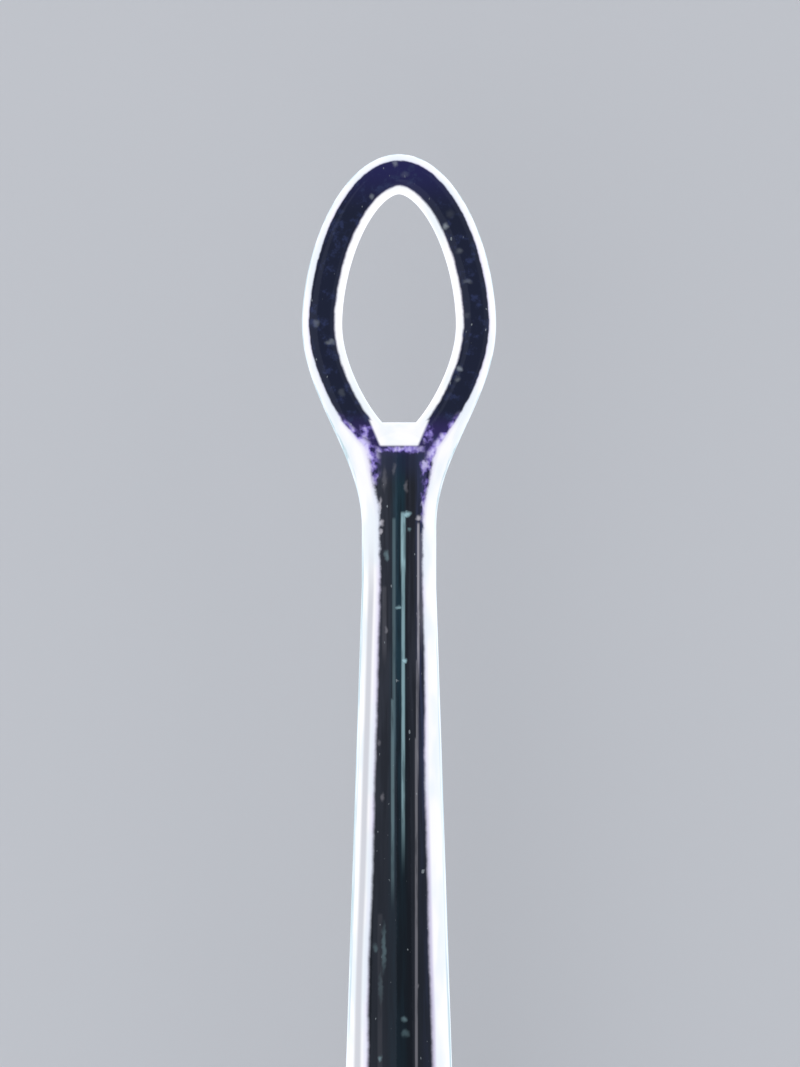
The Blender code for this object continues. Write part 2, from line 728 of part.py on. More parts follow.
def lamp():
    """The 5 mm lamp, its two leads down to the board, and the plug that holds it from behind."""
    dome_start = LAMP_LENGTH - LAMP_RADIUS
    turns = [math.pi / 2 * i / DOME_POINTS for i in range(DOME_POINTS)]
    dome = [
        (dome_start + LAMP_RADIUS * math.sin(a), LAMP_RADIUS * math.cos(a)) for a in turns
    ]
    profile = [
        (0, 0),
        (0, LAMP_FLANGE_RADIUS),
        (LAMP_FLANGE_LENGTH, LAMP_FLANGE_RADIUS),
        (LAMP_FLANGE_LENGTH, LAMP_RADIUS),
        *dome,
        (LAMP_LENGTH, 0),
    ]
    turned("led", profile, lamp_epoxy(), LAMP_START)
    plug = disc_piece(
        "led_retainer", LAMP_FLANGE_RADIUS, RETAINER_LENGTH, dark_plastic(), RETAINER_START
    )
    drop = STRIP_BOTTOM + LEAD_WIDTH / 2
    for side, name in ((-1, "led_cathode_lead"), (1, "led_anode_lead")):
        hole = block(
            name + "_hole",
            (side * LEAD_PITCH / 2 - LEAD_WIDTH, -OVERRUN, -LEAD_WIDTH),
            (side * LEAD_PITCH / 2 + LEAD_WIDTH, RETAINER_LENGTH + OVERRUN, LEAD_WIDTH),
            station=RETAINER_START,
        )
        cut(plug, hole)
        route = [
            (LAMP_START - SEAT_GAP, 0),
            (NOSE_START, 0),
            (BOARD_END - LEAD_WIDTH, drop),
            (BOARD_END - LEAD_PAD, drop),
        ]
        wire(name, side * LEAD_PITCH / 2, route)


def wire(name, offset, route):
    """A square wire of the lead's width that follows (station, height) points."""
    half = LEAD_WIDTH / 2
    rings = [
        [
            (offset - half, s, z - half),
            (offset + half, s, z - half),
            (offset + half, s, z + half),
            (offset - half, s, z + half),
        ]
        for s, z in route
    ]
    ring_stack(name, rings, nickel())


def shell_radius(station):
    """Half width of the handle: it swells from the tail end to the belly, then tapers to the nose."""
    share = (station - SHELL_START) / SHELL_LENGTH
    swell = min(max(share / REAR_SWELL_SHARE, 0), 1)
    taper = max(share - BELLY_REACH_SHARE, 0) / (1 - BELLY_REACH_SHARE)
    rise = (SHELL_BELLY_RADIUS - SHELL_REAR_RADIUS) * math.sin(math.pi / 2 * swell)
    fall = (SHELL_BELLY_RADIUS - SHELL_NOSE_RADIUS) * taper**NOSE_TAPER_POWER
    return SHELL_REAR_RADIUS + rise - fall


def shell_section(station, inset=0.0):
    """A ring of points round the handle, inset from its surface. It is round at both ends and a soft
    square at the belly."""
    radius = shell_radius(station) - inset
    low, high = min(SHELL_REAR_RADIUS, SHELL_NOSE_RADIUS), SHELL_BELLY_RADIUS
    fullness = min(max((shell_radius(station) - low) / (high - low), 0), 1)
    power = 2 + BELLY_SQUARENESS * fullness**2
    ring = []
    for i in range(SHELL_POINTS):
        angle = 2 * math.pi * i / SHELL_POINTS
        c, s = math.cos(angle), math.sin(angle)
        reach = radius / (abs(c) ** power + abs(s) ** power) ** (1 / power)
        ring.append((reach * c, station, reach * s))
    return ring


def cut_flat(bm, height, keep_above):
    """Cuts a closed bmesh level at a height and closes it again."""
    geometry = bm.verts[:] + bm.edges[:] + bm.faces[:]
    bmesh.ops.bisect_plane(
        bm,
        geom=geometry,
        dist=WELD_DISTANCE,
        plane_co=(0, 0, height),
        plane_no=(0, 0, 1),
        clear_inner=keep_above,
        clear_outer=not keep_above,
    )
    rim = [edge for edge in bm.edges if edge.is_boundary]
    if rim:
        bmesh.ops.holes_fill(bm, edges=rim, sides=0)


def half_handle(name, rings, low, high, look=None):
    """The part of a ring stack that lies between two heights."""
    whole = ring_stack(name + "_whole", rings, None)
    bm = bmesh.new()
    bm.from_mesh(whole.data)
    bpy.data.objects.remove(whole, do_unlink=True)
    cut_flat(bm, low, True)
    cut_flat(bm, high, False)
    return finish_mesh(name, bm, look)


def grip_stations():
    """Where the shells' seat and the sleeve's bore bend, so that they stay parallel."""
    return np.linspace(GRIP_START, GRIP_END, GRIP_STATIONS)


def shell_rings():
    """The outer surface of both shells, with the seat of the grip sleeve let into it."""
    stations = np.linspace(SHELL_START + SHELL_EDGE, GRIP_START, SHELL_STATIONS)
    seat = GRIP_THICKNESS + SEAT_GAP
    rings = [shell_section(SHELL_START, SHELL_EDGE)]
    rings += [shell_section(s) for s in stations]
    rings += [shell_section(s, seat) for s in (*grip_stations(), GRIP_END + SEAT_GAP)]
    rings += [shell_section(s) for s in (GRIP_END + SEAT_GAP, SHELL_END - SHELL_EDGE)]
    rings.append(shell_section(SHELL_END, SHELL_EDGE))
    return rings


def cavity_wall(station):
    """Wall between the shell's full outline and the cavity, thicker where the sleeve is let in."""
    return SHELL_WALL + (GRIP_THICKNESS if station > GRIP_START - SHELL_WALL else 0)


def board_half_width():
    """The board fills the cavity's width at its own lower face, where the handle is narrowest."""
    room = shell_radius(BOARD_END) - cavity_wall(BOARD_END)
    return math.sqrt(room**2 - (BOARD_DROP + BOARD_THICKNESS) ** 2) - BOARD_SIDE_GAP


def cavity_rings():
    """The room for the battery tube and the board."""
    stations = np.linspace(TUBE_FLANGE_END + SEAT_GAP, COLLAR_START, CAVITY_STATIONS)
    return [shell_section(s, cavity_wall(s)) for s in stations]


def wall_middle(station):
    """Height inside the lower wall that a post or rib at the station can start from."""
    front = station + POST_FOOT_RADIUS
    seat = GRIP_THICKNESS + SEAT_GAP if front > GRIP_START else 0
    return SHELL_WALL / 2 - min(AXIS_HEIGHT, shell_radius(front) - seat)


def bore_cutter(name):
    """The round seats inside the shells, from the tail to the nose, as one turned cutter."""
    profile = [
        (SHELL_START - OVERRUN, 0),
        (SHELL_START - OVERRUN, TUBE_REAR_RADIUS + SEAT_GAP),
        (TUBE_FLANGE_START - SEAT_GAP, TUBE_REAR_RADIUS + SEAT_GAP),
        (TUBE_FLANGE_START - SEAT_GAP, TUBE_FLANGE_RADIUS + SEAT_GAP),
        (TUBE_FLANGE_END + 2 * SEAT_GAP, TUBE_FLANGE_RADIUS + SEAT_GAP),
        (TUBE_FLANGE_END + 2 * SEAT_GAP, TUBE_RADIUS + SEAT_GAP),
        (TUBE_END + SEAT_GAP, TUBE_RADIUS + SEAT_GAP),
        (TUBE_END + SEAT_GAP, 0),
    ]
    rear = turned(name + "_rear_bore", profile, None)
    profile = [
        (COLLAR_START - OVERRUN, 0),
        (COLLAR_START - OVERRUN, NOSE_BORE),
        (NOSE_FLANGE_START - SEAT_GAP, NOSE_BORE),
        (NOSE_FLANGE_START - SEAT_GAP, NOSE_FLANGE_RADIUS + SEAT_GAP),
        (NOSE_FLANGE_END + SEAT_GAP, NOSE_FLANGE_RADIUS + SEAT_GAP),
        (NOSE_FLANGE_END + SEAT_GAP, NOSE_BORE),
        (SHELL_END + OVERRUN, NOSE_BORE),
        (SHELL_END + OVERRUN, 0),
    ]
    return rear, turned(name + "_nose_bore", profile, None)


def lower_shell():
    """The half that the handle lies on: tube saddle, board ledge, screw posts and screw holes."""
    shell = half_handle(
        "lower_shell", shell_rings(), -AXIS_HEIGHT, -SEAM_GAP / 2, shell_plastic()
    )
    cut(shell, half_handle("lower_cavity", cavity_rings(), -AXIS_HEIGHT + SHELL_WALL, OVERRUN))
    board_bottom = BOARD_TOP - BOARD_THICKNESS - SEAT_GAP
    floor = wall_middle(BOARD_START)
    saddle = block(
        "tube_saddle",
        (-TUBE_BORE, TUBE_END - 2 * PART_WALL, floor),
        (TUBE_BORE, TUBE_END - PART_WALL, STRIP_BOTTOM - SEAT_GAP),
    )
    ledge = block(
        "board_ledge",
        (-board_half_width(), BOARD_START, floor),
        (board_half_width(), BOARD_START + BOARD_LEDGE, board_bottom),
    )
    foot = upright_rod(
        "front_foot",
        POST_FOOT_RADIUS,
        wall_middle(FRONT_POST_STATION),
        board_bottom,
        FRONT_POST_STATION,
    )
    join(shell, saddle, ledge, foot)
    for name, station in (("rear", REAR_POST_STATION), ("front", FRONT_POST_STATION)):
        floor = wall_middle(station)
        post = upright_rod(name + "_post", POST_RADIUS, floor, -SEAM_GAP / 2, station)
        join(shell, post)
        bore = upright_rod(
            name + "_screw_bore", SCREW_RADIUS + SLIDING_GAP, -AXIS_HEIGHT, OVERRUN, station
        )
        head = upright_rod(
            name + "_head_bore",
            SCREW_HEAD_RADIUS + SEAT_GAP,
            -AXIS_HEIGHT - OVERRUN,
            -AXIS_HEIGHT + SCREW_HEAD_DEPTH + SCREW_HEAD_HEIGHT,
            station,
        )
        cut(shell, bore, head)
    cut(shell, *bore_cutter("lower"))
    return shell


def upper_shell():
    """The half with the thumb button: a recess, the slot in its floor and the screw posts."""
    shell = half_handle(
        "upper_shell", shell_rings(), SEAM_GAP / 2, SHELL_TOP_HEIGHT, shell_plastic()
    )
    cut(shell, half_handle("upper_cavity", cavity_rings(), -OVERRUN, CAVITY_TOP_HEIGHT))
    ceiling = (CAVITY_TOP_HEIGHT + RECESS_FLOOR) / 2
    for name, station in (("rear", REAR_POST_STATION), ("front", FRONT_POST_STATION)):
        join(shell, upright_rod(name + "_upper_post", POST_RADIUS, SEAM_GAP / 2, ceiling, station))
        pilot_top = -AXIS_HEIGHT + SCREW_HEAD_DEPTH + SCREW_HEAD_HEIGHT + SCREW_LENGTH + SEAT_GAP
        cut(
            shell,
            upright_rod(
                name + "_pilot", SCREW_RADIUS + SLIDING_GAP, -OVERRUN, pilot_top, station
            ),
        )
    half_length = (BUTTON_LENGTH + SWITCH_TRAVEL) / 2 + BUTTON_CLEARANCE
    half_width = BUTTON_WIDTH / 2 + BUTTON_CLEARANCE
    recess = block(
        "button_recess",
        (-half_width, -half_length, RECESS_FLOOR),
        (half_width, half_length, SHELL_TOP_HEIGHT + OVERRUN),
        edge=RECESS_CORNER,
        station=SWITCH_STATION,
    )
    slot_length = (BUTTON_STEM_LENGTH + SWITCH_TRAVEL) / 2 + BUTTON_CLEARANCE
    slot_width = BUTTON_STEM_WIDTH / 2 + SEAT_GAP
    slot = block(
        "button_slot",
        (-slot_width, -slot_length, CAVITY_TOP_HEIGHT - OVERRUN),
        (slot_width, slot_length, SHELL_TOP_HEIGHT),
        station=SWITCH_STATION,
    )
    cut(shell, recess, slot)
    cut(shell, *bore_cutter("upper"))
    return shell


def grip_sleeve():
    """The soft sleeve: a tube with rounded rings that follows the taper of the shells."""
    start, end = GRIP_START + SEAT_GAP, GRIP_END
    bore_stations = np.maximum(grip_stations(), start)
    outer = []
    steps = RIDGE_POINTS * GRIP_RIBS
    for i in range(steps + 1):
        wave = (1 - math.cos(2 * math.pi * i / RIDGE_POINTS)) / 2
        station = start + (end - start) * i / steps
        outer.append(shell_section(station, GRIP_RIB_HEIGHT * (1 - wave)))
    inner = [shell_section(s, GRIP_THICKNESS) for s in bore_stations[::-1]]
    ring_stack("grip_sleeve", outer + inner, soft_rubber(), closed_ends=False)


def shell_screws():
    """Pan-head screws that enter from below and hold the two shells."""
    under_head = -AXIS_HEIGHT + SCREW_HEAD_DEPTH + SCREW_HEAD_HEIGHT - SEAT_GAP
    for name, station in (
        ("shell_screw_rear", REAR_POST_STATION),
        ("shell_screw_front", FRONT_POST_STATION),
    ):
        head_low = under_head - SCREW_HEAD_HEIGHT + SEAT_GAP
        screw = upright_rod(name, SCREW_HEAD_RADIUS, head_low, under_head, station, nickel())
        shank = upright_rod(
            name + "_shank",
            SCREW_RADIUS,
            (head_low + under_head) / 2,
            under_head + SCREW_LENGTH,
            station,
        )
        join(screw, shank)


def cells():
    """Button cells in line, each with its stepped negative face to the rear."""
    profile = [
        (0, 0),
        (0, CELL_CAP_RADIUS),
        (CELL_CAP_RISE, CELL_CAP_RADIUS + CELL_CAP_RISE / 2),
        (CELL_CAP_RISE, CELL_RADIUS - CELL_EDGE),
        (CELL_CAP_RISE + CELL_EDGE, CELL_RADIUS),
        (CELL_HEIGHT - CELL_EDGE, CELL_RADIUS),
        (CELL_HEIGHT, CELL_RADIUS - CELL_EDGE),
        (CELL_HEIGHT, 0),
    ]
    for i in range(CELL_COUNT):
        place = CELL_START + i * CELL_PITCH
        turned(f"cell_{i + 1}", profile, nickel(), place, CELL_SEGMENTS)


def battery_tube():
    """The tube for the cells: threaded mouth, flange, and windows for the two contact strips."""
    length = TUBE_END - TUBE_START
    shoulder = TUBE_SHOULDER - TUBE_START
    flange_start = TUBE_FLANGE_START - TUBE_START
    flange_end = TUBE_FLANGE_END - TUBE_START
    front = TUBE_FRONT - TUBE_START
    profile = [
        (0, THREAD_BORE),
        (shoulder, THREAD_BORE),
        (shoulder, TUBE_BORE),
        (front, TUBE_BORE),
        (front, TUBE_FRONT_HOLE),
        (length, TUBE_FRONT_HOLE),
        (length, TUBE_RADIUS),
        (flange_end, TUBE_RADIUS),
        (flange_end, TUBE_FLANGE_RADIUS),
        (flange_start, TUBE_FLANGE_RADIUS),
        (flange_start, TUBE_REAR_RADIUS),
        (0, TUBE_REAR_RADIUS),
    ]
    tube = turned("battery_tube", profile, dark_plastic(), TUBE_START)
    rear_window = block(
        "rear_window",
        (
            -TUBE_FLANGE_RADIUS - OVERRUN,
            STRIP_START - SEAT_GAP,
            STRIP_BOTTOM - SEAT_GAP,
        ),
        (
            -TUBE_BORE + STRIP_TAB,
            TUBE_FLANGE_END + SEAT_GAP,
            STRIP_TOP + SEAT_GAP,
        ),
    )
    half = STRIP_THICKNESS / 2 + SEAT_GAP
    front_window = block(
        "front_window",
        (STRIP_OFFSET - half, TUBE_FRONT - SEAT_GAP, STRIP_BOTTOM - SEAT_GAP),
        (STRIP_OFFSET + half, TUBE_END + OVERRUN, STRIP_TOP + SEAT_GAP),
    )
    cut(tube, rear_window, front_window)


def contacts():
    """The positive disc with its tongue, and the negative strip that runs beside the tube."""
    strip_end = BOARD_START + STRIP_OVERLAP
    half = STRIP_THICKNESS / 2
    disc = disc_piece("front_contact", CONTACT_RADIUS, STRIP_THICKNESS, nickel(), CELL_END)
    tongue = block(
        "front_tongue",
        (STRIP_OFFSET - half, CELL_END + half, STRIP_BOTTOM),
        (STRIP_OFFSET + half, strip_end, STRIP_TOP),
    )
    join(disc, tongue)
    out = -TUBE_RADIUS - SEAT_GAP - half
    turn_in = TUBE_END + POST_CLEARANCE
    middle = STRIP_START + half
    route = [
        (-TUBE_BORE + STRIP_TAB - SEAT_GAP, middle),
        (out, middle),
        (out, turn_in),
        (-STRIP_OFFSET, turn_in + STRIP_DOGLEG),
        (-STRIP_OFFSET, strip_end),
    ]
    ribbon("negative_strip", route, nickel())


def ribbon(name, route, look):
    """A flat strip on edge that follows (x, station) points, mitred at each bend."""
    points = np.array(route)
    steps = np.diff(points, axis=0)
    steps /= np.linalg.norm(steps, axis=1)[:, None]
    before = np.vstack([steps[:1], steps])
    after = np.vstack([steps, steps[-1:]])
    middle = before + after
    middle /= np.linalg.norm(middle, axis=1)[:, None]
    reach = STRIP_THICKNESS / 2 / np.sum(middle * after, axis=1)[:, None]
    across = reach * np.column_stack([-middle[:, 1], middle[:, 0]])
    rings = []
    for (x, s), (dx, ds) in zip(points, across):
        rings.append(
            [
                (x - dx, s - ds, STRIP_BOTTOM),
                (x + dx, s + ds, STRIP_BOTTOM),
                (x + dx, s + ds, STRIP_TOP),
                (x - dx, s - ds, STRIP_TOP),
            ]
        )
    ring_stack(name, rings, look)


def tail_cap():
    """The screw cap: fluted skirt, rounded end, hollow stub with an O-ring groove at its root."""
    groove_start = CAP_LENGTH + TUBE_SET_BACK + JOINT_LINE + SEAT_GAP
    groove_end = groove_start + O_RING_SECTION + 2 * SEAT_GAP
    groove_floor = STUB_RADIUS - O_RING_SECTION - SEAT_GAP + SLIDING_GAP
    rounding = [
        (
            CAP_END_ROUND * (1 - math.cos(a)),
            CAP_RADIUS - CAP_END_ROUND * (1 - math.sin(a)),
        )
        for a in np.linspace(0, math.pi / 2, ROUNDING_POINTS)
    ]
    profile = [
        (0, 0),
        *rounding,
        (CAP_END_ROUND * 2, CAP_RADIUS),
        (CAP_LENGTH - SHELL_EDGE * 2, CAP_RADIUS),
        (CAP_LENGTH - SHELL_EDGE, CAP_RADIUS),
        (CAP_LENGTH, CAP_RADIUS - SHELL_EDGE),
        (CAP_LENGTH, STUB_RADIUS),
        (groove_start, STUB_RADIUS),
        (groove_start, groove_floor),
        (groove_end, groove_floor),
        (groove_end, STUB_RADIUS),
        (STUB_END - SHELL_EDGE, STUB_RADIUS),
        (STUB_END, STUB_RADIUS - SHELL_EDGE),
        (STUB_END, STUB_BORE),
        (CAP_FLOOR, STUB_BORE),
        (CAP_FLOOR, 0),
    ]
    ripple = (
        CAP_FLUTES,
        CAP_FLUTE_DEPTH,
        CAP_RADIUS,
        CAP_END_ROUND * 1.5,
        CAP_LENGTH - SHELL_EDGE * 1.5,
    )
    turned("tail_cap", profile, shell_plastic(), 0, FINE_SEGMENTS, ripple)
    rod_ring(
        "tail_o_ring",
        STUB_RADIUS + SLIDING_GAP - O_RING_SECTION / 2,
        O_RING_SECTION,
        (groove_start + groove_end) / 2,
        black_rubber(),
    )


def spring_and_plate():
    """The stamped cup on the stub's end and the tapering spring that presses the cells forward."""
    skirt = STUB_BORE - SEAT_GAP
    inside = skirt - PLATE_THICKNESS
    profile = [
        (0, 0),
        (0, inside),
        (-PLATE_SKIRT, inside),
        (-PLATE_SKIRT, skirt),
        (0, skirt),
        (0, STUB_RADIUS - SHELL_EDGE),
        (PLATE_THICKNESS, STUB_RADIUS - SHELL_EDGE),
        (PLATE_THICKNESS, 0),
    ]
    turned("spring_plate", profile, nickel(), PLATE_START)
    count = SPRING_TURNS * SPRING_TURN_POINTS
    share = np.arange(count + 1) / count
    turn = 2 * math.pi * SPRING_TURNS * share
    radius = SPRING_BASE_RADIUS + (SPRING_TIP_RADIUS - SPRING_BASE_RADIUS) * share
    rise = SPRING_WIRE / 2 + (SPRING_LENGTH - SPRING_WIRE) * share
    points = np.column_stack([radius * np.cos(turn), rise, radius * np.sin(turn)])
    apart = np.linalg.norm(points[SPRING_TURN_POINTS:] - points[:-SPRING_TURN_POINTS], axis=1)
    print("least gap between turns of contact_spring:", round(apart.min() - SPRING_WIRE, 6))
    curve = bpy.data.curves.new("contact_spring", "CURVE")
    curve.dimensions = "3D"
    curve.bevel_depth = SPRING_WIRE / 2
    curve.bevel_resolution = 1
    curve.use_fill_caps = True
    line = curve.splines.new("POLY")
    line.points.add(count)
    for point, place in zip(line.points, points):
        point.co = (*place, 1)
    curve.materials.append(nickel())
    spring = bpy.data.objects.new("contact_spring", curve)
    spring.parent = axis_empty()
    spring.location = (0, SPRING_START, 0)
    bpy.context.scene.collection.objects.link(spring)


def circuit_board():
    """The board, which drops over the front post and rests on its foot and on the rear ledge."""
    half = board_half_width()
    board = block(
        "circuit_board",
        (-half, BOARD_START, BOARD_TOP - BOARD_THICKNESS),
        (half, BOARD_END, BOARD_TOP),
        board_laminate(),
    )
    hole = upright_rod(
        "board_hole",
        POST_RADIUS + SEAT_GAP,
        BOARD_TOP - BOARD_THICKNESS - OVERRUN,
        BOARD_TOP + OVERRUN,
        FRONT_POST_STATION,
    )
    cut(board, hole)
    middle = BOARD_START + RESISTOR_WIDTH
    block(
        "resistor",
        (-RESISTOR_LENGTH / 2, middle - RESISTOR_WIDTH / 2, PIN_BOTTOM),
        (RESISTOR_LENGTH / 2, middle + RESISTOR_WIDTH / 2, PIN_BOTTOM + RESISTOR_HEIGHT),
        dark_plastic(),
    )


def slide_switch():
    """The board-mounted switch: base on three pins, metal frame, slider with its wiper."""
    half_length, half_width = SWITCH_LENGTH / 2, SWITCH_WIDTH / 2
    inner = SWITCH_WALL + SEAT_GAP
    for i in range(3):
        block(
            f"switch_pin_{i + 1}",
            (-PIN_WIDTH / 2, -PIN_WIDTH / 2, PIN_BOTTOM),
            (PIN_WIDTH / 2, PIN_WIDTH / 2, PIN_BOTTOM + PIN_HEIGHT),
            nickel(),
            station=SWITCH_STATION + (i - 1) * PIN_PITCH,
        )
    block(
        "switch_base",
        (-half_width + inner, -half_length + inner, SWITCH_BOTTOM),
        (half_width - inner, half_length - inner, WIPER_BOTTOM - SEAT_GAP),
        dark_plastic(),
        station=SWITCH_STATION,
    )
    frame = block(
        "switch_frame",
        (-half_width, -half_length, SWITCH_BOTTOM),
        (half_width, half_length, SWITCH_TOP),
        nickel(),
        station=SWITCH_STATION,
    )
    room = block(
        "switch_room",
        (-half_width + SWITCH_WALL, -half_length + SWITCH_WALL, SWITCH_BOTTOM - OVERRUN),
        (half_width - SWITCH_WALL, half_length - SWITCH_WALL, FRAME_CEILING),
        station=SWITCH_STATION,
    )
    slot_length = (SLIDER_POST + SWITCH_TRAVEL) / 2 + SEAT_GAP
    slot_width = SLIDER_POST / 2 + SEAT_GAP
    slot = block(
        "switch_slot",
        (-slot_width, -slot_length, FRAME_CEILING - OVERRUN),
        (slot_width, slot_length, SWITCH_TOP + OVERRUN),
        station=SWITCH_STATION,
    )
    cut(frame, room, slot)
    slider_half = half_width - inner
    slider = block(
        "switch_slider",
        (-slider_half, -SLIDER_LENGTH / 2, SLIDER_BOTTOM),
        (slider_half, SLIDER_LENGTH / 2, SLIDER_BOTTOM + SLIDER_HEIGHT),
        dark_plastic(),
        station=SLIDER_STATION,
    )
    post = block(
        "slider_post",
        (-SLIDER_POST / 2, -SLIDER_POST / 2, SLIDER_BOTTOM + SLIDER_HEIGHT / 2),
        (SLIDER_POST / 2, SLIDER_POST / 2, SLIDER_TOP),
        station=SLIDER_STATION,
    )
    join(slider, post)
    block(
        "switch_wiper",
        (-slider_half + SEAT_GAP, -SLIDER_LENGTH / 2, WIPER_BOTTOM),
        (slider_half - SEAT_GAP, SLIDER_LENGTH / 2, WIPER_BOTTOM + WIPER_THICKNESS),
        nickel(),
        station=SLIDER_STATION,
    )


def thumb_button():
    """The button on top: a ridged pad, a stem through the slot and a foot over the slider's post."""
    half_width = BUTTON_WIDTH / 2
    start, end = -BUTTON_LENGTH / 2, BUTTON_LENGTH / 2
    steps = RIDGE_POINTS * BUTTON_RIDGES
    side = [(start, BUTTON_BOTTOM)]
    for i in range(steps + 1):
        wave = (1 - math.cos(2 * math.pi * i / RIDGE_POINTS)) / 2
        crown = 1 - (2 * i / steps - 1) ** 4
        side.append(
            (
                start + BUTTON_LENGTH * i / steps,
                BUTTON_BOTTOM + BUTTON_HEIGHT * (1 + crown) / 2 + BUTTON_RIDGE * (wave - 1) * crown,
            )
        )
    side.append((end, BUTTON_BOTTOM))
    rings = [[(x, s, z) for s, z in side] for x in (-half_width, half_width)]
    pad = ring_stack("thumb_button", rings, button_plastic(), SLIDER_STATION)
    plan = block(
        "button_plan",
        (-half_width, start, BUTTON_BOTTOM - OVERRUN),
        (half_width, end, BUTTON_BOTTOM + BUTTON_HEIGHT + OVERRUN),
        edge=BUTTON_CORNER,
        station=SLIDER_STATION,
    )
    combine(pad, plan, "INTERSECT")
    foot_top = CAVITY_TOP_HEIGHT - SEAT_GAP
    foot_bottom = SWITCH_TOP + BUTTON_FOOT_CLEARANCE
    stem_half = BUTTON_STEM_LENGTH / 2
    stem = block(
        "button_stem",
        (-BUTTON_STEM_WIDTH / 2, -stem_half, foot_top - SEAT_GAP),
        (BUTTON_STEM_WIDTH / 2, stem_half, BUTTON_BOTTOM + BUTTON_HEIGHT / 4),
        station=SLIDER_STATION,
    )
    foot = block(
        "button_foot",
        (-BUTTON_FOOT_WIDTH / 2, -stem_half, foot_bottom),
        (BUTTON_FOOT_WIDTH / 2, stem_half, foot_top),
        station=SLIDER_STATION,
    )
    grip = SLIDER_POST / 2 + SLIDING_GAP
    pocket = block(
        "foot_pocket",
        (-grip, -grip, foot_bottom - OVERRUN),
        (grip, grip, SLIDER_TOP + SEAT_GAP),
        station=SLIDER_STATION,
    )
    join(pad, stem, foot)
    cut(pad, pocket)


def main():
    clear_scene()
    curette()
    nose_tube()
    trim_ring()
    lamp()
    lower_shell()
    upper_shell()
    grip_sleeve()
    shell_screws()
    battery_tube()
    cells()
    contacts()
    spring_and_plate()
    tail_cap()
    circuit_board()
    slide_switch()
    thumb_button()


main()
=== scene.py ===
"""Lighted ear curette: the fine surfaces and finishes of a clear light guide on a battery handle.

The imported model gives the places. Every new piece is a surface worked out with numpy on a grid of
rows along the instrument and columns round it. Lengths are in metres, +Y runs to the loop's tip and
+Z up to the thumb button. "Back" is a distance behind the loop's tip.
"""

import json
import math

import bmesh
import bpy
import numpy as np
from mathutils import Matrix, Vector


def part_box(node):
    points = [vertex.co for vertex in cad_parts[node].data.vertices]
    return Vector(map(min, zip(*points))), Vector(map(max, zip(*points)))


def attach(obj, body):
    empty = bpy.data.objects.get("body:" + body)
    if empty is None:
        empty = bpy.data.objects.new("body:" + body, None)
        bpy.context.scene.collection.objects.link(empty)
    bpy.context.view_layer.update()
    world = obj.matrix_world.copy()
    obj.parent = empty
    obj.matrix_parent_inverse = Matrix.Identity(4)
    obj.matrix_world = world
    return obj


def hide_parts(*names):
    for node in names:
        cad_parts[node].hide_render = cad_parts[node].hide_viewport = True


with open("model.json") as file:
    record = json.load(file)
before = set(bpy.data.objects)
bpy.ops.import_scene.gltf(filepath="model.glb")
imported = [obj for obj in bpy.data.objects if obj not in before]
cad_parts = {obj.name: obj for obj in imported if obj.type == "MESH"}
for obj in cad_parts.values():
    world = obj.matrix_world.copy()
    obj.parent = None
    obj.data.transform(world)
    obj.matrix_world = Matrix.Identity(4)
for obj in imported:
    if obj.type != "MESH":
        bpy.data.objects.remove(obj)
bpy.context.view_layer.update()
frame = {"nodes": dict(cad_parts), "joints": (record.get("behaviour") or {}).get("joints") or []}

bl_info = {
    "name": "Lighted ear curette",
    "version": (1, 0, 0),
    "blender": (4, 5, 0),
    "location": "View3D > Sidebar > Curette",
    "description": "Builds the fine pieces and finishes of a lighted ear curette",
    "category": "Object",
}

MM = 0.001
WELD_DISTANCE = 1e-7
SHARP_ANGLE = math.radians(32)
FULL_TURN = 2 * math.pi
QUARTER_TURN = math.pi / 2
# The cap's thread
THREAD_PITCH = 1 * MM
THREAD_DEPTH = 0.28 * MM

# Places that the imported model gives
AXIS_HEIGHT = float(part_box("tail_cap")[0].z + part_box("tail_cap")[1].z) / 2
TAIL_END = float(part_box("tail_cap")[0].y)
TIP_END = float(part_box("curette")[1].y)
HUB_REAR = float(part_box("curette")[0].y)


def low(node, axis=1):
    """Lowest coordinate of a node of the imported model, along Y unless another axis is given."""
    return float(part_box(node)[0][axis])


def high(node, axis=1):
    """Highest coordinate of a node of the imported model, along Y unless another axis is given."""
    return float(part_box(node)[1][axis])


def tone(red, green, blue):
    """A colour from three levels of 0 to 255 as a screen shows them, made linear."""
    share = np.array([red, green, blue]) / 255
    linear = np.where(share < 0.04, share / 12.92, ((share + 0.055) / 1.055) ** 2.4)
    return tuple(float(v) for v in linear)


def length(name, default, description):
    """A size that a user may change, with its default in millimetres."""
    return bpy.props.FloatProperty(
        name=name, description=description, default=default * MM, min=0, precision=5, unit="LENGTH"
    )


def amount(name, default, description):
    """A plain number that a user may change."""
    return bpy.props.FloatProperty(name=name, description=description, default=default, min=0)


def count(name, default, description):
    """A whole number that a user may change."""
    return bpy.props.IntProperty(name=name, description=description, default=default, min=1)


def colour(name, default, description):
    """A colour that a user may change, with its default as three levels of 0 to 255."""
    return bpy.props.FloatVectorProperty(
        name=name, description=description, default=tone(*default), size=3, min=0, max=1, subtype="COLOR"
    )


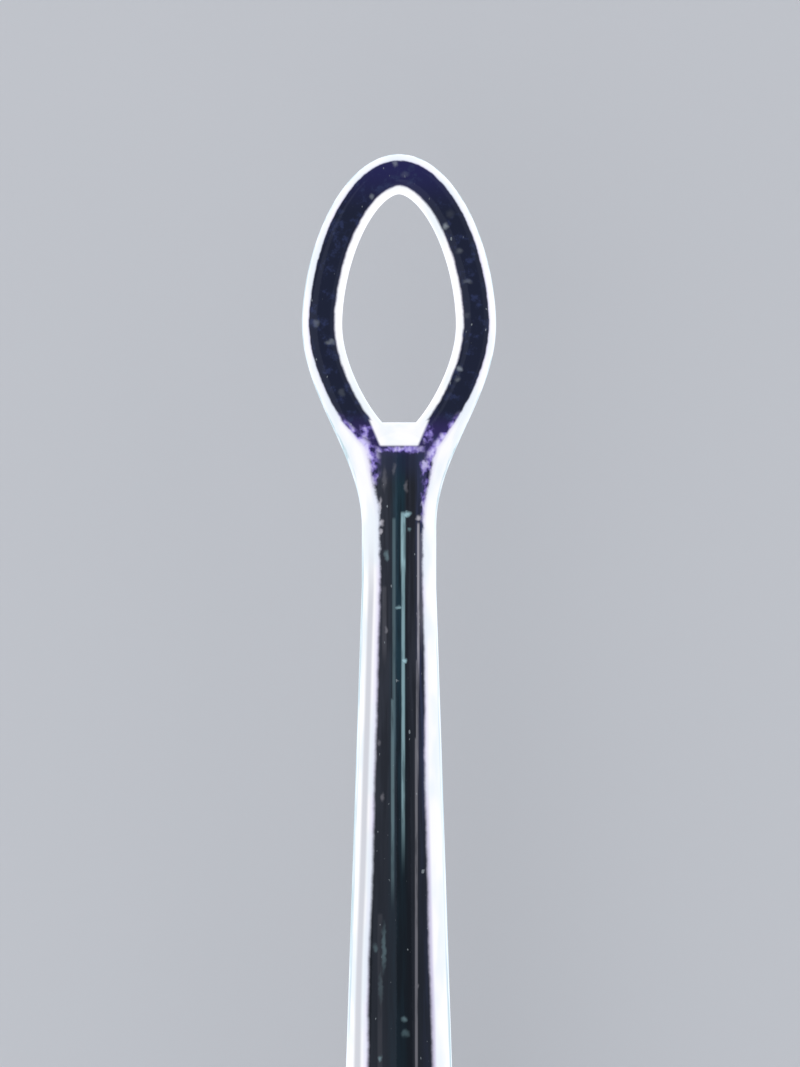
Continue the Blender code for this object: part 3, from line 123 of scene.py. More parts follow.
class CuretteTipSizes(bpy.types.PropertyGroup):
    """Sizes of the loop, neck and stem, in the plan that the camera looks down on."""

    loop_width: length("Loop width", 4.0, "Outer width of the oval loop")
    crown: length("Crown length", 3.5, "From the tip to the widest place")
    shoulder: length("Shoulder length", 4.2, "From the widest place to the neck")
    roundness: amount("Crown roundness", 1.8, "Higher numbers make the crown blunter")
    band_width: length("Band width", 0.825, "Width of the loop's band in plan")
    flare: length("Band flare", 0.135, "How much wider the band is where its arms run together")
    flare_reach: length("Flare reach", 2.4, "From the widest place to the full flare")
    flare_power: amount("Flare power", 6.0, "How late the band widens")
    band_thickness: length("Band thickness", 0.85, "Thickness of the loop's band")
    band_edge: length("Band edge radius", 0.3, "Rounding of the band's edges")
    floor_width: length("Eye floor width", 0.7, "Flat width at the bottom of the eye")
    end_face: length("End face length", 0.45, "Length of the sloped face behind the eye")
    neck_width: length("Neck width", 1.53, "Width of the stem at its neck")
    neck: length("Neck length", 1.2, "Even stretch of stem behind the shoulder")
    stem_root: length("Stem root width", 4.9, "Width of the stem where it meets the hub")
    blend: amount("Blend power", 6.0, "How tightly the stem and the band meet")


class CuretteHubSizes(bpy.types.PropertyGroup):
    """Sizes of the hollow hub that pushes on to the nose tube."""

    length: length("Hub length", 12.0, "From the rear flange to the stem")
    radius: length("Hub radius", 4.6, "Outer radius between the flutes")
    socket_radius: length("Socket radius", 3.65, "Bore that slides on the nose tube")
    socket_depth: length("Socket depth", 9.3, "Depth of the bore")
    flange: length("Flange length", 1.2, "Thickness of the rear flange")
    lip: length("Flange lip", 0.3, "How far the flange stands out")
    shoulder: length("Hub shoulder", 2.2, "Length of the slope down to the stem")
    flute_depth: length("Flute depth", 0.15, "Depth of the grip flutes")
    flutes: count("Flutes", 8, "Number of grip flutes round the hub")
    dish: length("Socket dish", 0.4, "Hollow at the bottom of the socket")


class CuretteHandleSizes(bpy.types.PropertyGroup):
    """Sizes of the moulded handle."""

    rear_radius: length("Rear radius", 6.3, "Radius at the tail end")
    belly_radius: length("Belly radius", 6.9, "Half width at the belly")
    nose_radius: length("Nose radius", 5.0, "Radius at the nose end")
    swell_share: amount("Swell share", 0.22, "Share of the length over which the tail end swells")
    belly_share: amount("Belly share", 0.58, "Share of the length where the nose taper starts")
    taper_power: amount("Taper power", 2.2, "How late the nose draws in")
    squareness: amount("Squareness", 0.35, "How soft a square the belly is")
    edge: length("Edge radius", 0.3, "Rounding of the shell's ends")
    rear_bore: length("Rear bore radius", 5.3, "Seat of the battery tube")
    room_radius: length("Room radius", 4.8, "Hollow for the circuit board")
    nose_bore: length("Nose bore radius", 3.7, "Seat of the nose tube")
    seam: length("Seam gap", 0.1, "Gap between the two halves")
    recess_depth: length("Recess depth", 0.9, "Depth of the thumb button's recess")
    recess_corner: length("Recess corner", 0.8, "Corner radius of the recess")
    recess_gap: length("Recess gap", 0.2, "Room round the button at the ends of its travel")
    sleeve: length("Sleeve thickness", 0.8, "Thickness of the grip sleeve")
    rib: length("Rib height", 0.25, "Height of the grip sleeve's ribs")
    ribs: count("Ribs", 5, "Number of ribs on the grip sleeve")


class CuretteFinishes(bpy.types.PropertyGroup):
    """Colours and strengths of the finishes, and of the light and shade painted into the clear moulding.
    """

    # Painted light: the four rim colours paint, as emission, the light that leaves the clear moulding's
    # edges
    rim: colour("Rim glow", (252, 252, 255), "Light that leaves the edges of the clear moulding")
    rim_cool: colour("Cool rim glow", (228, 240, 250), "Cooler stretches of the edge light")
    rim_lavender: colour("Lavender rim glow", (224, 220, 246), "Inner side of the edge light")
    rim_grey: colour("Grey rim line", (208, 210, 218), "Thin dull line in the stem's left rim")
    # Painted shade: the four tones below paint the dark inside of the clear moulding as emission
    core_slate: colour("Slate core", (30, 37, 66), "Tone seen down through the loop's band")
    core_blue: colour("Blue core", (34, 32, 88), "Tone at the loop's crown")
    core_teal: colour("Teal core", (16, 40, 50), "Tone of the stem's middle")
    core_warm: colour("Warm core", (42, 45, 54), "Tone of the stem's left strip")
    clear: colour("Clear moulding", (236, 240, 246), "Tint of the moulding near the hub")
    # The three violets paint light beside the clear moulding's bright rims, dark violet also paints shade
    # at its crotch, and violet tints the lamp's own glow
    violet: colour("Violet fringe", (134, 118, 200), "Fringe beside the brightest edges")
    violet_pale: colour("Pale violet fringe", (206, 198, 250), "Palest spots of the fringe")
    violet_dark: colour("Dark violet", (50, 40, 98), "Gaps between the spots of the fringe")
    # Painted reflections: teal and mauve paint the streaks inside the clear moulding
    teal: colour("Teal streak", (160, 196, 206), "Long reflections inside the stem")
    mauve: colour("Mauve streak", (166, 164, 174), "Thin reflection beside the right rim")
    glow: amount("Glow strength", 1.0, "Strength of the light that leaves the moulding")
    shell: colour("Shell", (240, 240, 241), "Satin plastic of the handle")
    sleeve: colour("Grip sleeve", (72, 78, 88), "Soft elastomer of the grip")
    button: colour("Thumb button", (86, 100, 122), "Satin plastic of the button")
    aluminium: colour("Aluminium", (214, 216, 219), "Turned metal of the nose")
    nickel: colour("Nickel plate", (205, 200, 190), "Screws, contacts, spring and cells")
    rubber: colour("O-ring rubber", (38, 38, 40), "Nitrile rings")
    nylon: colour("Black nylon", (46, 46, 50), "Battery tube and switch mouldings")
    laminate: colour("Board laminate", (18, 92, 58), "Solder mask of the circuit board")
    copper: colour("Copper", (196, 128, 78), "Lands and tracks of the circuit board")


class CuretteStudio(bpy.types.PropertyGroup):
    """The camera's frame, the floor and the lights."""

    frame_height: length("Frame height", 22.0, "Height of the picture at the instrument's axis")
    frame_back: length("Frame centre", 7.82, "How far behind the tip the picture's middle lies")
    frame_side: length("Frame shift", 0.02, "How far right of the axis the picture's middle lies")
    lens: amount("Lens", 200.0, "Focal length in millimetres")
    floor: colour("Floor", (212, 214, 218), "Plain pale floor")
    sky: amount("Sky strength", 0.62, "Strength of the even studio light")
    key: amount("Key strength", 2.4, "Power of the large light in watts")


def rounded(profile, reach, steps=4, closed=False):
    """A profile with soft corners. Each corner gives way to a parabola that starts and ends at the
    reach from it, with one more point on each side that keeps the long sides straight. The reach is
    at most two fifths of a short side. An open profile keeps its two end points."""
    points = np.array(profile, float)
    to_last = np.roll(points, 1, axis=0) - points
    to_next = np.roll(points, -1, axis=0) - points
    last_length = np.linalg.norm(to_last, axis=1, keepdims=True)
    next_length = np.linalg.norm(to_next, axis=1, keepdims=True)
    start = to_last * np.minimum(reach, last_length * 0.4) / last_length
    end = to_next * np.minimum(reach, next_length * 0.4) / next_length
    share = np.linspace(0, 1, steps + 1)[:, None, None]
    bend = points + start * (1 - share) ** 2 + end * share**2
    holds = points + start * 1.2, points + end * 1.2
    soft = np.concatenate([holds[0][None], bend, holds[1][None]]).transpose(1, 0, 2)
    if closed:
        return soft.reshape(-1, 2)
    inside = soft[1:-1].reshape(-1, 2)
    return np.vstack([points[:1], inside, points[-1:]])


def dense(profile, spacing):
    """The same profile with more points, so that none are further apart than the spacing."""
    profile = np.asarray(profile, float)
    run = np.concatenate([[0], np.cumsum(np.linalg.norm(np.diff(profile, axis=0), axis=1))])
    extra = np.arange(spacing, run[-1], spacing)
    places = np.unique(np.concatenate([run, extra]))
    return np.stack([np.interp(places, run, column) for column in profile.T], axis=1)


def turned(profile, columns, wave=None):
    """A surface of revolution: each (distance, radius) point of the profile is carried round the long
    axis. wave(distance, radius, angle) gives what is taken off the radius."""
    profile = np.asarray(profile, float)
    distance, radius = profile[:, :1], profile[:, 1:]
    angle = np.linspace(0, FULL_TURN, columns, endpoint=False)[None, :]
    spread = radius + np.zeros_like(angle)
    if wave:
        spread = spread - wave(distance, radius, angle)
    return np.stack([spread * np.cos(angle), distance + 0 * angle, spread * np.sin(angle)], axis=-1)


def thread_groove(distance, angle, pitch):
    """How far a point lies into a thread's groove, 0 to 1: the upper half of a cosine that climbs
    one pitch a turn."""
    turns = distance / pitch + angle / FULL_TURN
    return np.clip(np.cos(FULL_TURN * turns), 0, 1)


def window(value, start, end, soft):
    """1 between start and end and 0 outside, with an even slope of the given length inside them."""
    return np.clip((value - start) / soft, 0, 1) * np.clip((end - value) / soft, 0, 1)


def sheet_quads(rows, columns, wrap_rows, wrap_columns):
    """Corner numbers of the squares of a grid whose points are counted row by row."""
    number = np.arange(rows * columns).reshape(rows, columns)
    if wrap_rows:
        number = np.vstack([number, number[:1]])
    if wrap_columns:
        number = np.hstack([number, number[:, :1]])
    corners = number[:-1, :-1], number[:-1, 1:], number[1:, 1:], number[1:, :-1]
    return np.stack(corners, axis=-1).reshape(-1, 4)


def mesh_of(name, sheets, marks=None):
    """A mesh from sheets, each a grid of points with two flags that say whether its rows and its
    columns join end to end. Points at one place become one, a square that has lost a corner becomes
    a triangle, and the faces are turned outwards. marks holds values for each point, by name."""
    places, quads, start = [], [], 0
    for points, wrap_rows, wrap_columns in sheets:
        rows, columns = points.shape[:2]
        places.append(points.reshape(-1, 3))
        quads.append(sheet_quads(rows, columns, wrap_rows, wrap_columns) + start)
        start += rows * columns
    places, quads = np.concatenate(places), np.concatenate(quads)
    places[:, 2] += AXIS_HEIGHT
    cells = np.round(places / WELD_DISTANCE).astype(np.int64)
    _, first, number = np.unique(cells, axis=0, return_index=True, return_inverse=True)
    quads = number.reshape(-1)[quads]
    same = quads == np.roll(quads, -1, axis=1)
    lost = same.sum(axis=1)
    full = quads[lost == 0]
    thin = quads[lost == 1][~same[lost == 1]].reshape(-1, 3)
    corners = np.concatenate([full.ravel(), thin.ravel()])
    starts = np.concatenate([np.arange(len(full)) * 4, len(full) * 4 + np.arange(len(thin)) * 3])
    mesh = bpy.data.meshes.new(name)
    mesh.vertices.add(len(first))
    mesh.vertices.foreach_set("co", places[first].ravel())
    mesh.loops.add(len(corners))
    mesh.loops.foreach_set("vertex_index", corners)
    mesh.polygons.add(len(starts))
    mesh.polygons.foreach_set("loop_start", starts)
    mesh.update(calc_edges=True)
    for mark, values in (marks or {}).items():
        stored = mesh.attributes.new(mark, "FLOAT", "POINT")
        stored.data.foreach_set("value", np.asarray(values, float).ravel()[first])
    turn_outwards(mesh)
    return mesh


def turn_outwards(mesh):
    """Turns every face of a closed mesh outwards."""
    bm = bmesh.new()
    bm.from_mesh(mesh)
    bmesh.ops.recalc_face_normals(bm, faces=bm.faces)
    bm.to_mesh(mesh)
    bm.free()


def shown(name, data):
    """A new object in the scene."""
    made = bpy.data.objects.new(name, data)
    bpy.context.scene.collection.objects.link(made)
    return made


def piece(name, mesh, body, replaced, slot, material=None):
    """Shows a mesh as a finished piece that rides on a body and stands for nodes of the model. Its
    material is that of its slot, unless another is given."""
    mesh.shade_smooth()
    mesh.set_sharp_from_angle(angle=SHARP_ANGLE)
    mesh.materials.clear()
    mesh.materials.append(material or finish(slot))
    made = shown(name, mesh)
    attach(made, body)
    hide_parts(*replaced)


def spin(name, profile, columns, body, node, slot, closed=True, relief=None):
    """Shows a piece turned from a profile. One that isn't closed starts and ends on the axis."""
    mesh = mesh_of(name, [(turned(profile, columns, relief), closed, True)])
    piece(name, mesh, body, [node], slot)


def cut_away(mesh, cutters):
    """The mesh less the space inside each cutter, a closed sheet, cut exactly."""
    whole = shown(mesh.name, mesh)
    helpers = []
    for cutter in cutters:
        helper = shown("cutter", mesh_of("cutter", [cutter]))
        step = whole.modifiers.new("cut", "BOOLEAN")
        step.operation, step.solver, step.object = "DIFFERENCE", "EXACT", helper
        helpers.append(helper)
    bpy.context.view_layer.update()
    graph = bpy.context.evaluated_depsgraph_get()
    result = bpy.data.meshes.new_from_object(whole.evaluated_get(graph), depsgraph=graph)
    for used in (whole, *helpers):
        bpy.data.objects.remove(used, do_unlink=True)
    return result


def plan_outline(tip, points=2400):
    """The loop's outline from the tip to the neck as (across, back) arrays. The crown follows
    across = half width * sqrt(1 - cos(t) ** roundness), and the shoulder half a cosine wave."""
    turn = np.linspace(0, QUARTER_TURN, points // 2)
    along = np.linspace(0, 1, points // 2)[1:]
    half, neck = tip.loop_width / 2, tip.neck_width / 2
    crown = half * np.sqrt(1 - np.cos(turn) ** tip.roundness)
    fall = neck + (half - neck) * (1 + np.cos(math.pi * along)) / 2
    across = np.concatenate([crown, fall])
    back = np.concatenate([tip.crown * (1 - np.cos(turn)), tip.crown + tip.shoulder * along])
    return across, back


def eye_outline(tip, across, back):
    """The outline moved in by the band's width, square to itself. The width grows towards the neck
    as a power of the distance from the widest place."""
    step_across, step_back = np.gradient(across), np.gradient(back)
    step_across[0], step_back[0] = 1, 0
    size = np.hypot(step_across, step_back)
    towards_neck = np.clip((back - tip.crown) / tip.flare_reach, 0, None)
    width = tip.band_width + tip.flare * towards_neck**tip.flare_power
    return across - width * step_back / size, back + width * step_across / size


def stem_start(tip):
    """How far behind the tip the taper starts."""
    return tip.crown + tip.shoulder + tip.neck


def stem_end(hub):
    """How far behind the tip the stem meets the hub."""
    return TIP_END - HUB_REAR - hub.length


def stem_radius(tip, hub, back):
    """An even neck, then a straight taper to the hub."""
    start, end = stem_start(tip), stem_end(hub)
    share = np.clip((back - start) / (end - start), 0, 1)
    return tip.neck_width / 2 + (tip.stem_root - tip.neck_width) / 2 * share


def nearest(across, back, line_across, line_back):
    """Distance in plan from each point to the nearest point of a line."""
    gap = np.hypot(across[..., None] - line_across, back[..., None] - line_back)
    return gap.min(axis=-1)


# Rows and columns of the clear moulding
BAND_ROWS = 150
FLOOR_ROWS = 12
SHOULDER_ROWS = 60
STEM_ROWS = 90
QUARTER_COLUMNS = 22
# Width of the bright rim by the distance behind the tip, both in millimetres
RIM_WIDTHS = (
    (0, 0.15), (4.0, 0.15), (4.7, 0.17), (5.1, 0.18), (5.5, 0.23), (5.7, 0.29), (5.9, 0.35),
    (6.05, 0.42), (6.25, 0.4), (6.5, 0.35), (6.8, 0.32), (7.2, 0.32), (10.2, 0.33), (11.3, 0.35),
    (12.3, 0.37), (14.4, 0.39), (17.5, 0.395), (19.0, 0.43), (60.0, 0.85),
)
# How much wider the left rim is, and narrower the right, by the distance behind the tip
LEAN_SHARES = (
    (5.6, 0), (5.9, 0.1), (6.5, 0.12), (7.4, 0.14), (10.2, 0.135),
    (11.3, 0.12), (12.5, 0.045), (15.0, 0.05), (16.5, 0.0), (18.5, 0.06),
)
# Stands for a place far from every rim, in rim widths
NO_RIM = 4.0


def read(table, back):
    """The values of a table of (millimetres, value) pairs at some distances behind the tip."""
    places, values = zip(*table)
    return np.interp(back / MM, places, values)


def light_guide_grid(tip, hub):
    """A quarter of the clear moulding: (across, back, height) with the plan distances to the outline
    and to the eye, and the place of the eye's floor. In the loop a row runs from the outline in to
    the eye, behind it from the outline to the centre line, and on the stem a quarter turn round the
    axis. The height is that of a band with quarter-round edges, joined to the round stem by a sum of
    powers. Rows and columns lie closer together where the shape bends more."""
    across, back = plan_outline(tip)
    eye_across, eye_back = eye_outline(tip, across, back)
    floor_half = tip.floor_width / 2
    past_crown = np.arange(len(across)) > len(across) // 2
    last = int(np.argmax((eye_across < floor_half) & past_crown))
    floor_back = eye_back[last]
    step, crowding = np.linspace(0, 1, BAND_ROWS + 1), 0.1
    crowded = step - crowding * np.sin(FULL_TURN * step) / math.pi
    chosen = np.round(crowded * last).astype(int)
    outer = np.stack([across[chosen], back[chosen]], axis=1)
    inner = np.stack([np.maximum(eye_across[chosen], 0), eye_back[chosen]], axis=1)
    inner[0] = 0, eye_back[0]
    inner[-1] = floor_half, floor_back
    rest = np.round(np.linspace(last, len(across) - 1, FLOOR_ROWS + SHOULDER_ROWS + 1)[1:]).astype(int)
    floor_across = floor_half * (1 - np.arange(1, FLOOR_ROWS + 1) / FLOOR_ROWS)
    fall = (np.arange(1, SHOULDER_ROWS + 1) / SHOULDER_ROWS) ** 1.2
    fall_back = floor_back + (back[-1] - floor_back) * fall
    inner_across = np.concatenate([floor_across, 0 * fall])
    inner_back = np.concatenate([floor_back + 0 * floor_across, fall_back])
    outer = np.vstack([outer, np.stack([across[rest], back[rest]], axis=1)])
    inner = np.vstack([inner, np.stack([inner_across, inner_back], axis=1)])
    stem_share = np.linspace(0, 1, STEM_ROWS + 1)[1:] ** 1.3
    stem_back = back[-1] + (stem_end(hub) - back[-1]) * stem_share
    radius = stem_radius(tip, hub, stem_back)
    outer = np.vstack([outer, np.stack([radius, stem_back], axis=1)])
    inner = np.vstack([inner, np.stack([0 * radius, stem_back], axis=1)])
    column = np.linspace(0, 1, QUARTER_COLUMNS + 1)
    band_shares = (1 - np.cos(math.pi * column)) / 2
    round_shares = 1 - np.cos(QUARTER_TURN * column)
    row = np.arange(len(outer))
    roundness = np.clip((row - BAND_ROWS) / (2 * FLOOR_ROWS), 0, 1)[:, None]
    share = (1 - roundness) * band_shares + roundness * round_shares
    x = outer[:, :1] * (1 - share) + inner[:, :1] * share
    b = outer[:, 1:] * (1 - share) + inner[:, 1:] * share
    x[0] = 0
    x[BAND_ROWS + FLOOR_ROWS :, -1] = 0
    loop = slice(0, BAND_ROWS + FLOOR_ROWS + SHOULDER_ROWS + 1)
    floor_line = np.linspace(floor_half, 0, FLOOR_ROWS * 4)
    from_edge = stem_radius(tip, hub, b) - x
    from_edge[loop] = nearest(x[loop], b[loop], across, back)
    from_eye = np.full_like(x, tip.crown)
    line_across = np.concatenate([eye_across[:last:2], floor_line])
    line_back = np.concatenate([eye_back[:last:2], floor_back + 0 * floor_line])
    from_eye[loop] = nearest(x[loop], b[loop], line_across, line_back)
    height = tip_height(tip, hub, x, b, from_edge, from_eye, floor_back)
    height[:, 0] = 0
    height[: BAND_ROWS + FLOOR_ROWS + 1, -1] = 0
    return x, b, height, from_edge, from_eye, floor_back


def tip_height(tip, hub, x, back, from_edge, from_eye, floor_back):
    """Height of the upper skin above the middle plane."""
    inside = np.clip(np.minimum(from_edge, from_eye) / tip.band_edge, 0, 1)
    fade = np.clip((stem_start(tip) - back) / tip.neck, 0, 1)
    loop = tip.band_thickness / 2 * np.sqrt(1 - (1 - inside) ** 2) * fade
    rise = np.clip((back - floor_back) / tip.end_face, 0, 1)
    stem = rise * np.sqrt(np.clip(stem_radius(tip, hub, back) ** 2 - x**2, 0, None))
    return (loop**tip.blend + stem**tip.blend) ** (1 / tip.blend)


def hub_profile(tip, hub):
    """Half section of the hub from the stem's root over the flutes and the flange into the socket."""
    root = tip.stem_root / 2
    slope = hub.length - hub.shoulder
    flange_radius = hub.radius + hub.lip
    corner = 0.3 * MM
    return rounded(
        [
            (hub.length, root),
            (hub.length - hub.shoulder / 2, (hub.radius + root) / 2),
            (slope, hub.radius - hub.lip),
            (slope - hub.flange, hub.radius),
            (hub.flange + hub.lip, hub.radius),
            (hub.flange, flange_radius),
            (0, flange_radius),
            (0, hub.socket_radius),
            (hub.socket_depth, hub.socket_radius),
            (hub.socket_depth + hub.dish, 0),
        ],
        corner,
    )


class CURETTE_OT_light_guide(bpy.types.Operator):
    """Builds the clear moulding: loop, sloped end face, neck, stem and hollow fluted hub"""

    bl_idname = "curette.light_guide"
    bl_label = "Clear curette"

    def execute(self, context):
        tip, hub = context.scene.curette_tip, context.scene.curette_hub
        spacing, run_out = 0.25 * MM, 0.5 * MM
        x, back, height, from_edge, from_eye, floor_back = light_guide_grid(tip, hub)
        profile = dense(hub_profile(tip, hub)[1:], spacing)
        quarter = np.linspace(0, QUARTER_TURN, QUARTER_COLUMNS + 1)[None, :]
        along, radius = profile[:, :1], profile[:, 1:]
        length_window = window(along, hub.flange + hub.lip, hub.length - hub.shoulder, run_out)
        outside = (radius > (hub.radius + hub.socket_radius) / 2) * length_window
        flute = hub.flute_depth * outside * (1 - np.cos(hub.flutes * quarter)) / 2
        spread = radius - flute
        hub_x, hub_z = spread * np.cos(quarter), spread * np.sin(quarter)
        hub_x[:, -1] = 0
        hub_z[:, 0] = 0
        hub_back = TIP_END - HUB_REAR - along + 0 * quarter
        x, height = np.vstack([x, hub_x]), np.vstack([height, hub_z])
        back = np.vstack([back, hub_back])
        none = np.full_like(hub_x, NO_RIM)
        solid_back = back[: len(from_edge)]
        eye = np.vstack([from_eye / (RIM_WIDTHS[0][1] * MM), none])
        sheets, rims, eyes = [], [], []
        for side in (1, -1):
            width = read(RIM_WIDTHS, solid_back) * MM * (1 - side * read(LEAN_SHARES, solid_back))
            rim = np.vstack([from_edge / width, none])
            for face in (1, -1):
                points = np.stack([side * x, TIP_END - back, face * height], axis=-1)
                sheets.append((points, False, False))
                rims.append(rim)
                eyes.append(eye)
        mesh = mesh_of("clear_curette", sheets, {"rim": np.stack(rims), "eye": np.stack(eyes)})
        material = painted("lit_acrylic", clear_acrylic, tip, hub, floor_back / MM)
        piece("clear_curette", mesh, "light_guide", ["curette"], "clear_acrylic", material)
        return {"FINISHED"}


def handle_radius(handle, y):
    """Half width of the handle: a sine swell from the tail end, then a power-curve taper."""
    start, end = low("upper_shell"), high("upper_shell")
    share = (y - start) / (end - start)
    swell = np.clip(share / handle.swell_share, 0, 1)
    taper = np.clip(share - handle.belly_share, 0, None) / (1 - handle.belly_share)
    rise = (handle.belly_radius - handle.rear_radius) * np.sin(QUARTER_TURN * swell)
    fall = (handle.belly_radius - handle.nose_radius) * taper**handle.taper_power
    return handle.rear_radius + rise - fall


def handle_section(handle, y, inset, angle):
    """Rings round the handle: a superellipse whose power goes from 2, a circle, to a soft square at
    the belly. y and inset are columns and angle is a row of values."""
    whole = handle_radius(handle, y)
    least = min(handle.rear_radius, handle.nose_radius)
    fullness = np.clip((whole - least) / (handle.belly_radius - least), 0, 1)
    power = 2 + handle.squareness * fullness**2
    c, s = np.cos(angle), np.sin(angle)
    reach = (whole - inset) / (np.abs(c) ** power + np.abs(s) ** power) ** (1 / power)
    return np.stack([reach * c, y + 0 * angle, reach * s], axis=-1)


def shell_rows(handle):
    """Places along a shell, with the inset of its outside and the radius of its inside there. The
    ends are quarter rounds, and the grip sleeve's seat is let in."""
    start, end = low("upper_shell"), high("upper_shell")
    sleeve_start, sleeve_end = low("grip_sleeve"), high("grip_sleeve")
    turn = np.linspace(0, QUARTER_TURN, 6)
    gap = handle.seam
    rise = handle.edge * (1 - np.sin(turn))
    run = handle.edge * (1 - np.cos(turn))
    body = np.linspace(start + handle.edge, sleeve_start - gap, 90)[1:]
    seat = np.linspace(sleeve_start - gap, sleeve_end + gap, 16)
    nose = np.linspace(sleeve_end + gap, end - handle.edge, 8)[:-1]
    y = np.concatenate([start + run, body, seat, nose, end - run[::-1]])
    depth = handle.sleeve + gap
    inset = np.concatenate([rise, 0 * body, 0 * seat + depth, 0 * nose, rise[::-1]])
    tube_end, collar = high("battery_tube") + gap, low("nose_tube") + 2 * gap
    middle = np.where(y < tube_end, handle.rear_bore, handle.room_radius)
    inside = np.where(y > collar, handle.nose_bore, middle)
    return y[:, None], inset[:, None], inside[:, None]


def shell_mesh(name, handle, upper):
    """One half of the handle as a closed shell: outside, inside, the two seams and the two ends."""
    y, inset, inside = shell_rows(handle)
    angle = np.linspace(0, math.pi, 121)[None, :]
    outer = handle_section(handle, y, inset, angle)
    inner = np.stack([inside * np.cos(angle), y + 0 * angle, inside * np.sin(angle)], axis=-1)
    flat = high("upper_shell", 2) - AXIS_HEIGHT if upper else AXIS_HEIGHT
    for skin in (outer, inner):
        skin[..., 2] = np.clip(skin[..., 2], handle.seam / 2, flat)
        skin[..., 2] *= 1 if upper else -1
    sheets = [(outer, False, False), (inner, False, False)]
    for edge in (0, -1):
        sheets.append((np.stack([outer[:, edge], inner[:, edge]], axis=1), False, False))
        sheets.append((np.stack([outer[edge], inner[edge]]), False, False))
    return mesh_of(name, sheets)


def upright(outline, bottom, top):
    """The sheet of an upright solid over a closed plan outline of (x, y) points, between two heights
    from the axis. Its first and last rows are the middle of the two ends."""
    middle = outline.mean(axis=0) + 0 * outline
    rows = (middle, bottom), (outline, bottom), (outline, top), (middle, top)
    rings = [np.column_stack([plan, np.full(len(plan), height)]) for plan, height in rows]
    return np.stack(rings), False, True


def rounded_box_outline(centre, half_length, half_width, corner):
    """A rectangle in plan whose corners are quarter circles."""
    turn = np.linspace(0, QUARTER_TURN, 10)
    quarter = np.stack([np.cos(turn), np.sin(turn)], axis=1) * corner
    reach = np.array([half_width - corner, half_length - corner])
    first = quarter + reach
    second = (quarter[::-1] + reach) * (-1, 1)
    outline = np.concatenate([first, second, -first, -second])
    return outline + (0, centre)


def circle_outline(centre, radius, points=48):
    """A circle in plan round a point of the long axis."""
    turn = np.linspace(0, FULL_TURN, points, endpoint=False)
    return np.stack([radius * np.cos(turn), centre + radius * np.sin(turn)], axis=1)


class CURETTE_OT_shells(bpy.types.Operator):
    """Builds the two moulded halves of the handle, with the button's recess and the screw holes"""

    bl_idname = "curette.shells"
    bl_label = "Handle shells"

    def execute(self, context):
        handle = context.scene.curette_handle
        travel = next(j for j in frame["joints"] if j["name"] == "switch_slide")["range_m"]
        start, end = low("thumb_button") + travel[0], high("thumb_button") + travel[1]
        top = high("upper_shell", 2) - AXIS_HEIGHT
        half_length = (end - start) / 2 + handle.recess_gap
        half_width = high("thumb_button", 0) + handle.recess_gap
        slot_half_length, slot_half_width, slot_corner = 2.75 * MM, 0.9 * MM, 0.2 * MM
        hole_gap, hole_depth, overrun = 0.1 * MM, 2.1 * MM, 1 * MM
        middle = (start + end) / 2
        outline = rounded_box_outline(middle, half_length, half_width, handle.recess_corner)
        recess = upright(outline, top - handle.recess_depth, top + overrun)
        outline = rounded_box_outline(middle, slot_half_length, slot_half_width, slot_corner)
        slot = upright(outline, handle.room_radius - overrun, top)
        upper = cut_away(shell_mesh("upper_half", handle, True), [recess, slot])
        piece("upper_half", upper, "handle", ["upper_shell"], "shell_plastic")
        holes = []
        for screw in ("shell_screw_rear", "shell_screw_front"):
            outline = circle_outline((low(screw) + high(screw)) / 2, high(screw, 0) + hole_gap)
            holes.append(upright(outline, -AXIS_HEIGHT - overrun, -AXIS_HEIGHT + hole_depth))
        lower = cut_away(shell_mesh("lower_half", handle, False), holes)
        piece("lower_half", lower, "handle", ["lower_shell"], "shell_plastic")
        return {"FINISHED"}


class CURETTE_OT_grip(bpy.types.Operator):
    """Builds the soft grip sleeve with its rounded ribs"""

    bl_idname = "curette.grip"
    bl_label = "Grip sleeve"

    def execute(self, context):
        handle = context.scene.curette_handle
        start, end = low("grip_sleeve"), high("grip_sleeve")
        share = np.linspace(0, 1, 121)[:, None]
        angle = np.linspace(0, FULL_TURN, 160, endpoint=False)[None, :]
        y = start + (end - start) * share
        rib = (1 - np.cos(FULL_TURN * handle.ribs * share)) / 2
        outer = handle_section(handle, y, handle.rib * (1 - rib**0.8), angle)
        inner = handle_section(handle, y[::-1], handle.sleeve + 0 * y, angle)
        mesh = mesh_of("soft_grip", [(np.vstack([outer, inner]), True, True)])
        piece("soft_grip", mesh, "handle", ["grip_sleeve"], "soft_rubber")
        return {"FINISHED"}


def o_ring(name, node, body):
    """An O-ring at its node's place: a circle of the cord's radius carried round the long axis."""
    cord_radius = 0.3 * MM
    middle, outer = (low(node) + high(node)) / 2, high(node, 0)
    turn = np.linspace(0, FULL_TURN, 20, endpoint=False)
    along, out = middle + cord_radius * np.sin(turn), outer - cord_radius * (1 - np.cos(turn))
    spin(name, np.stack([along, out], axis=1), 96, body, node, "black_rubber")


def o_ring_groove(node, outside, floor):
    """The profile of the groove that an O-ring lies in, from its far edge back to its near one."""
    half_width = 0.4 * MM
    middle = (low(node) + high(node)) / 2
    far, near = middle + half_width, middle - half_width
    return [(far, outside), (far, floor), (near, floor), (near, outside)]


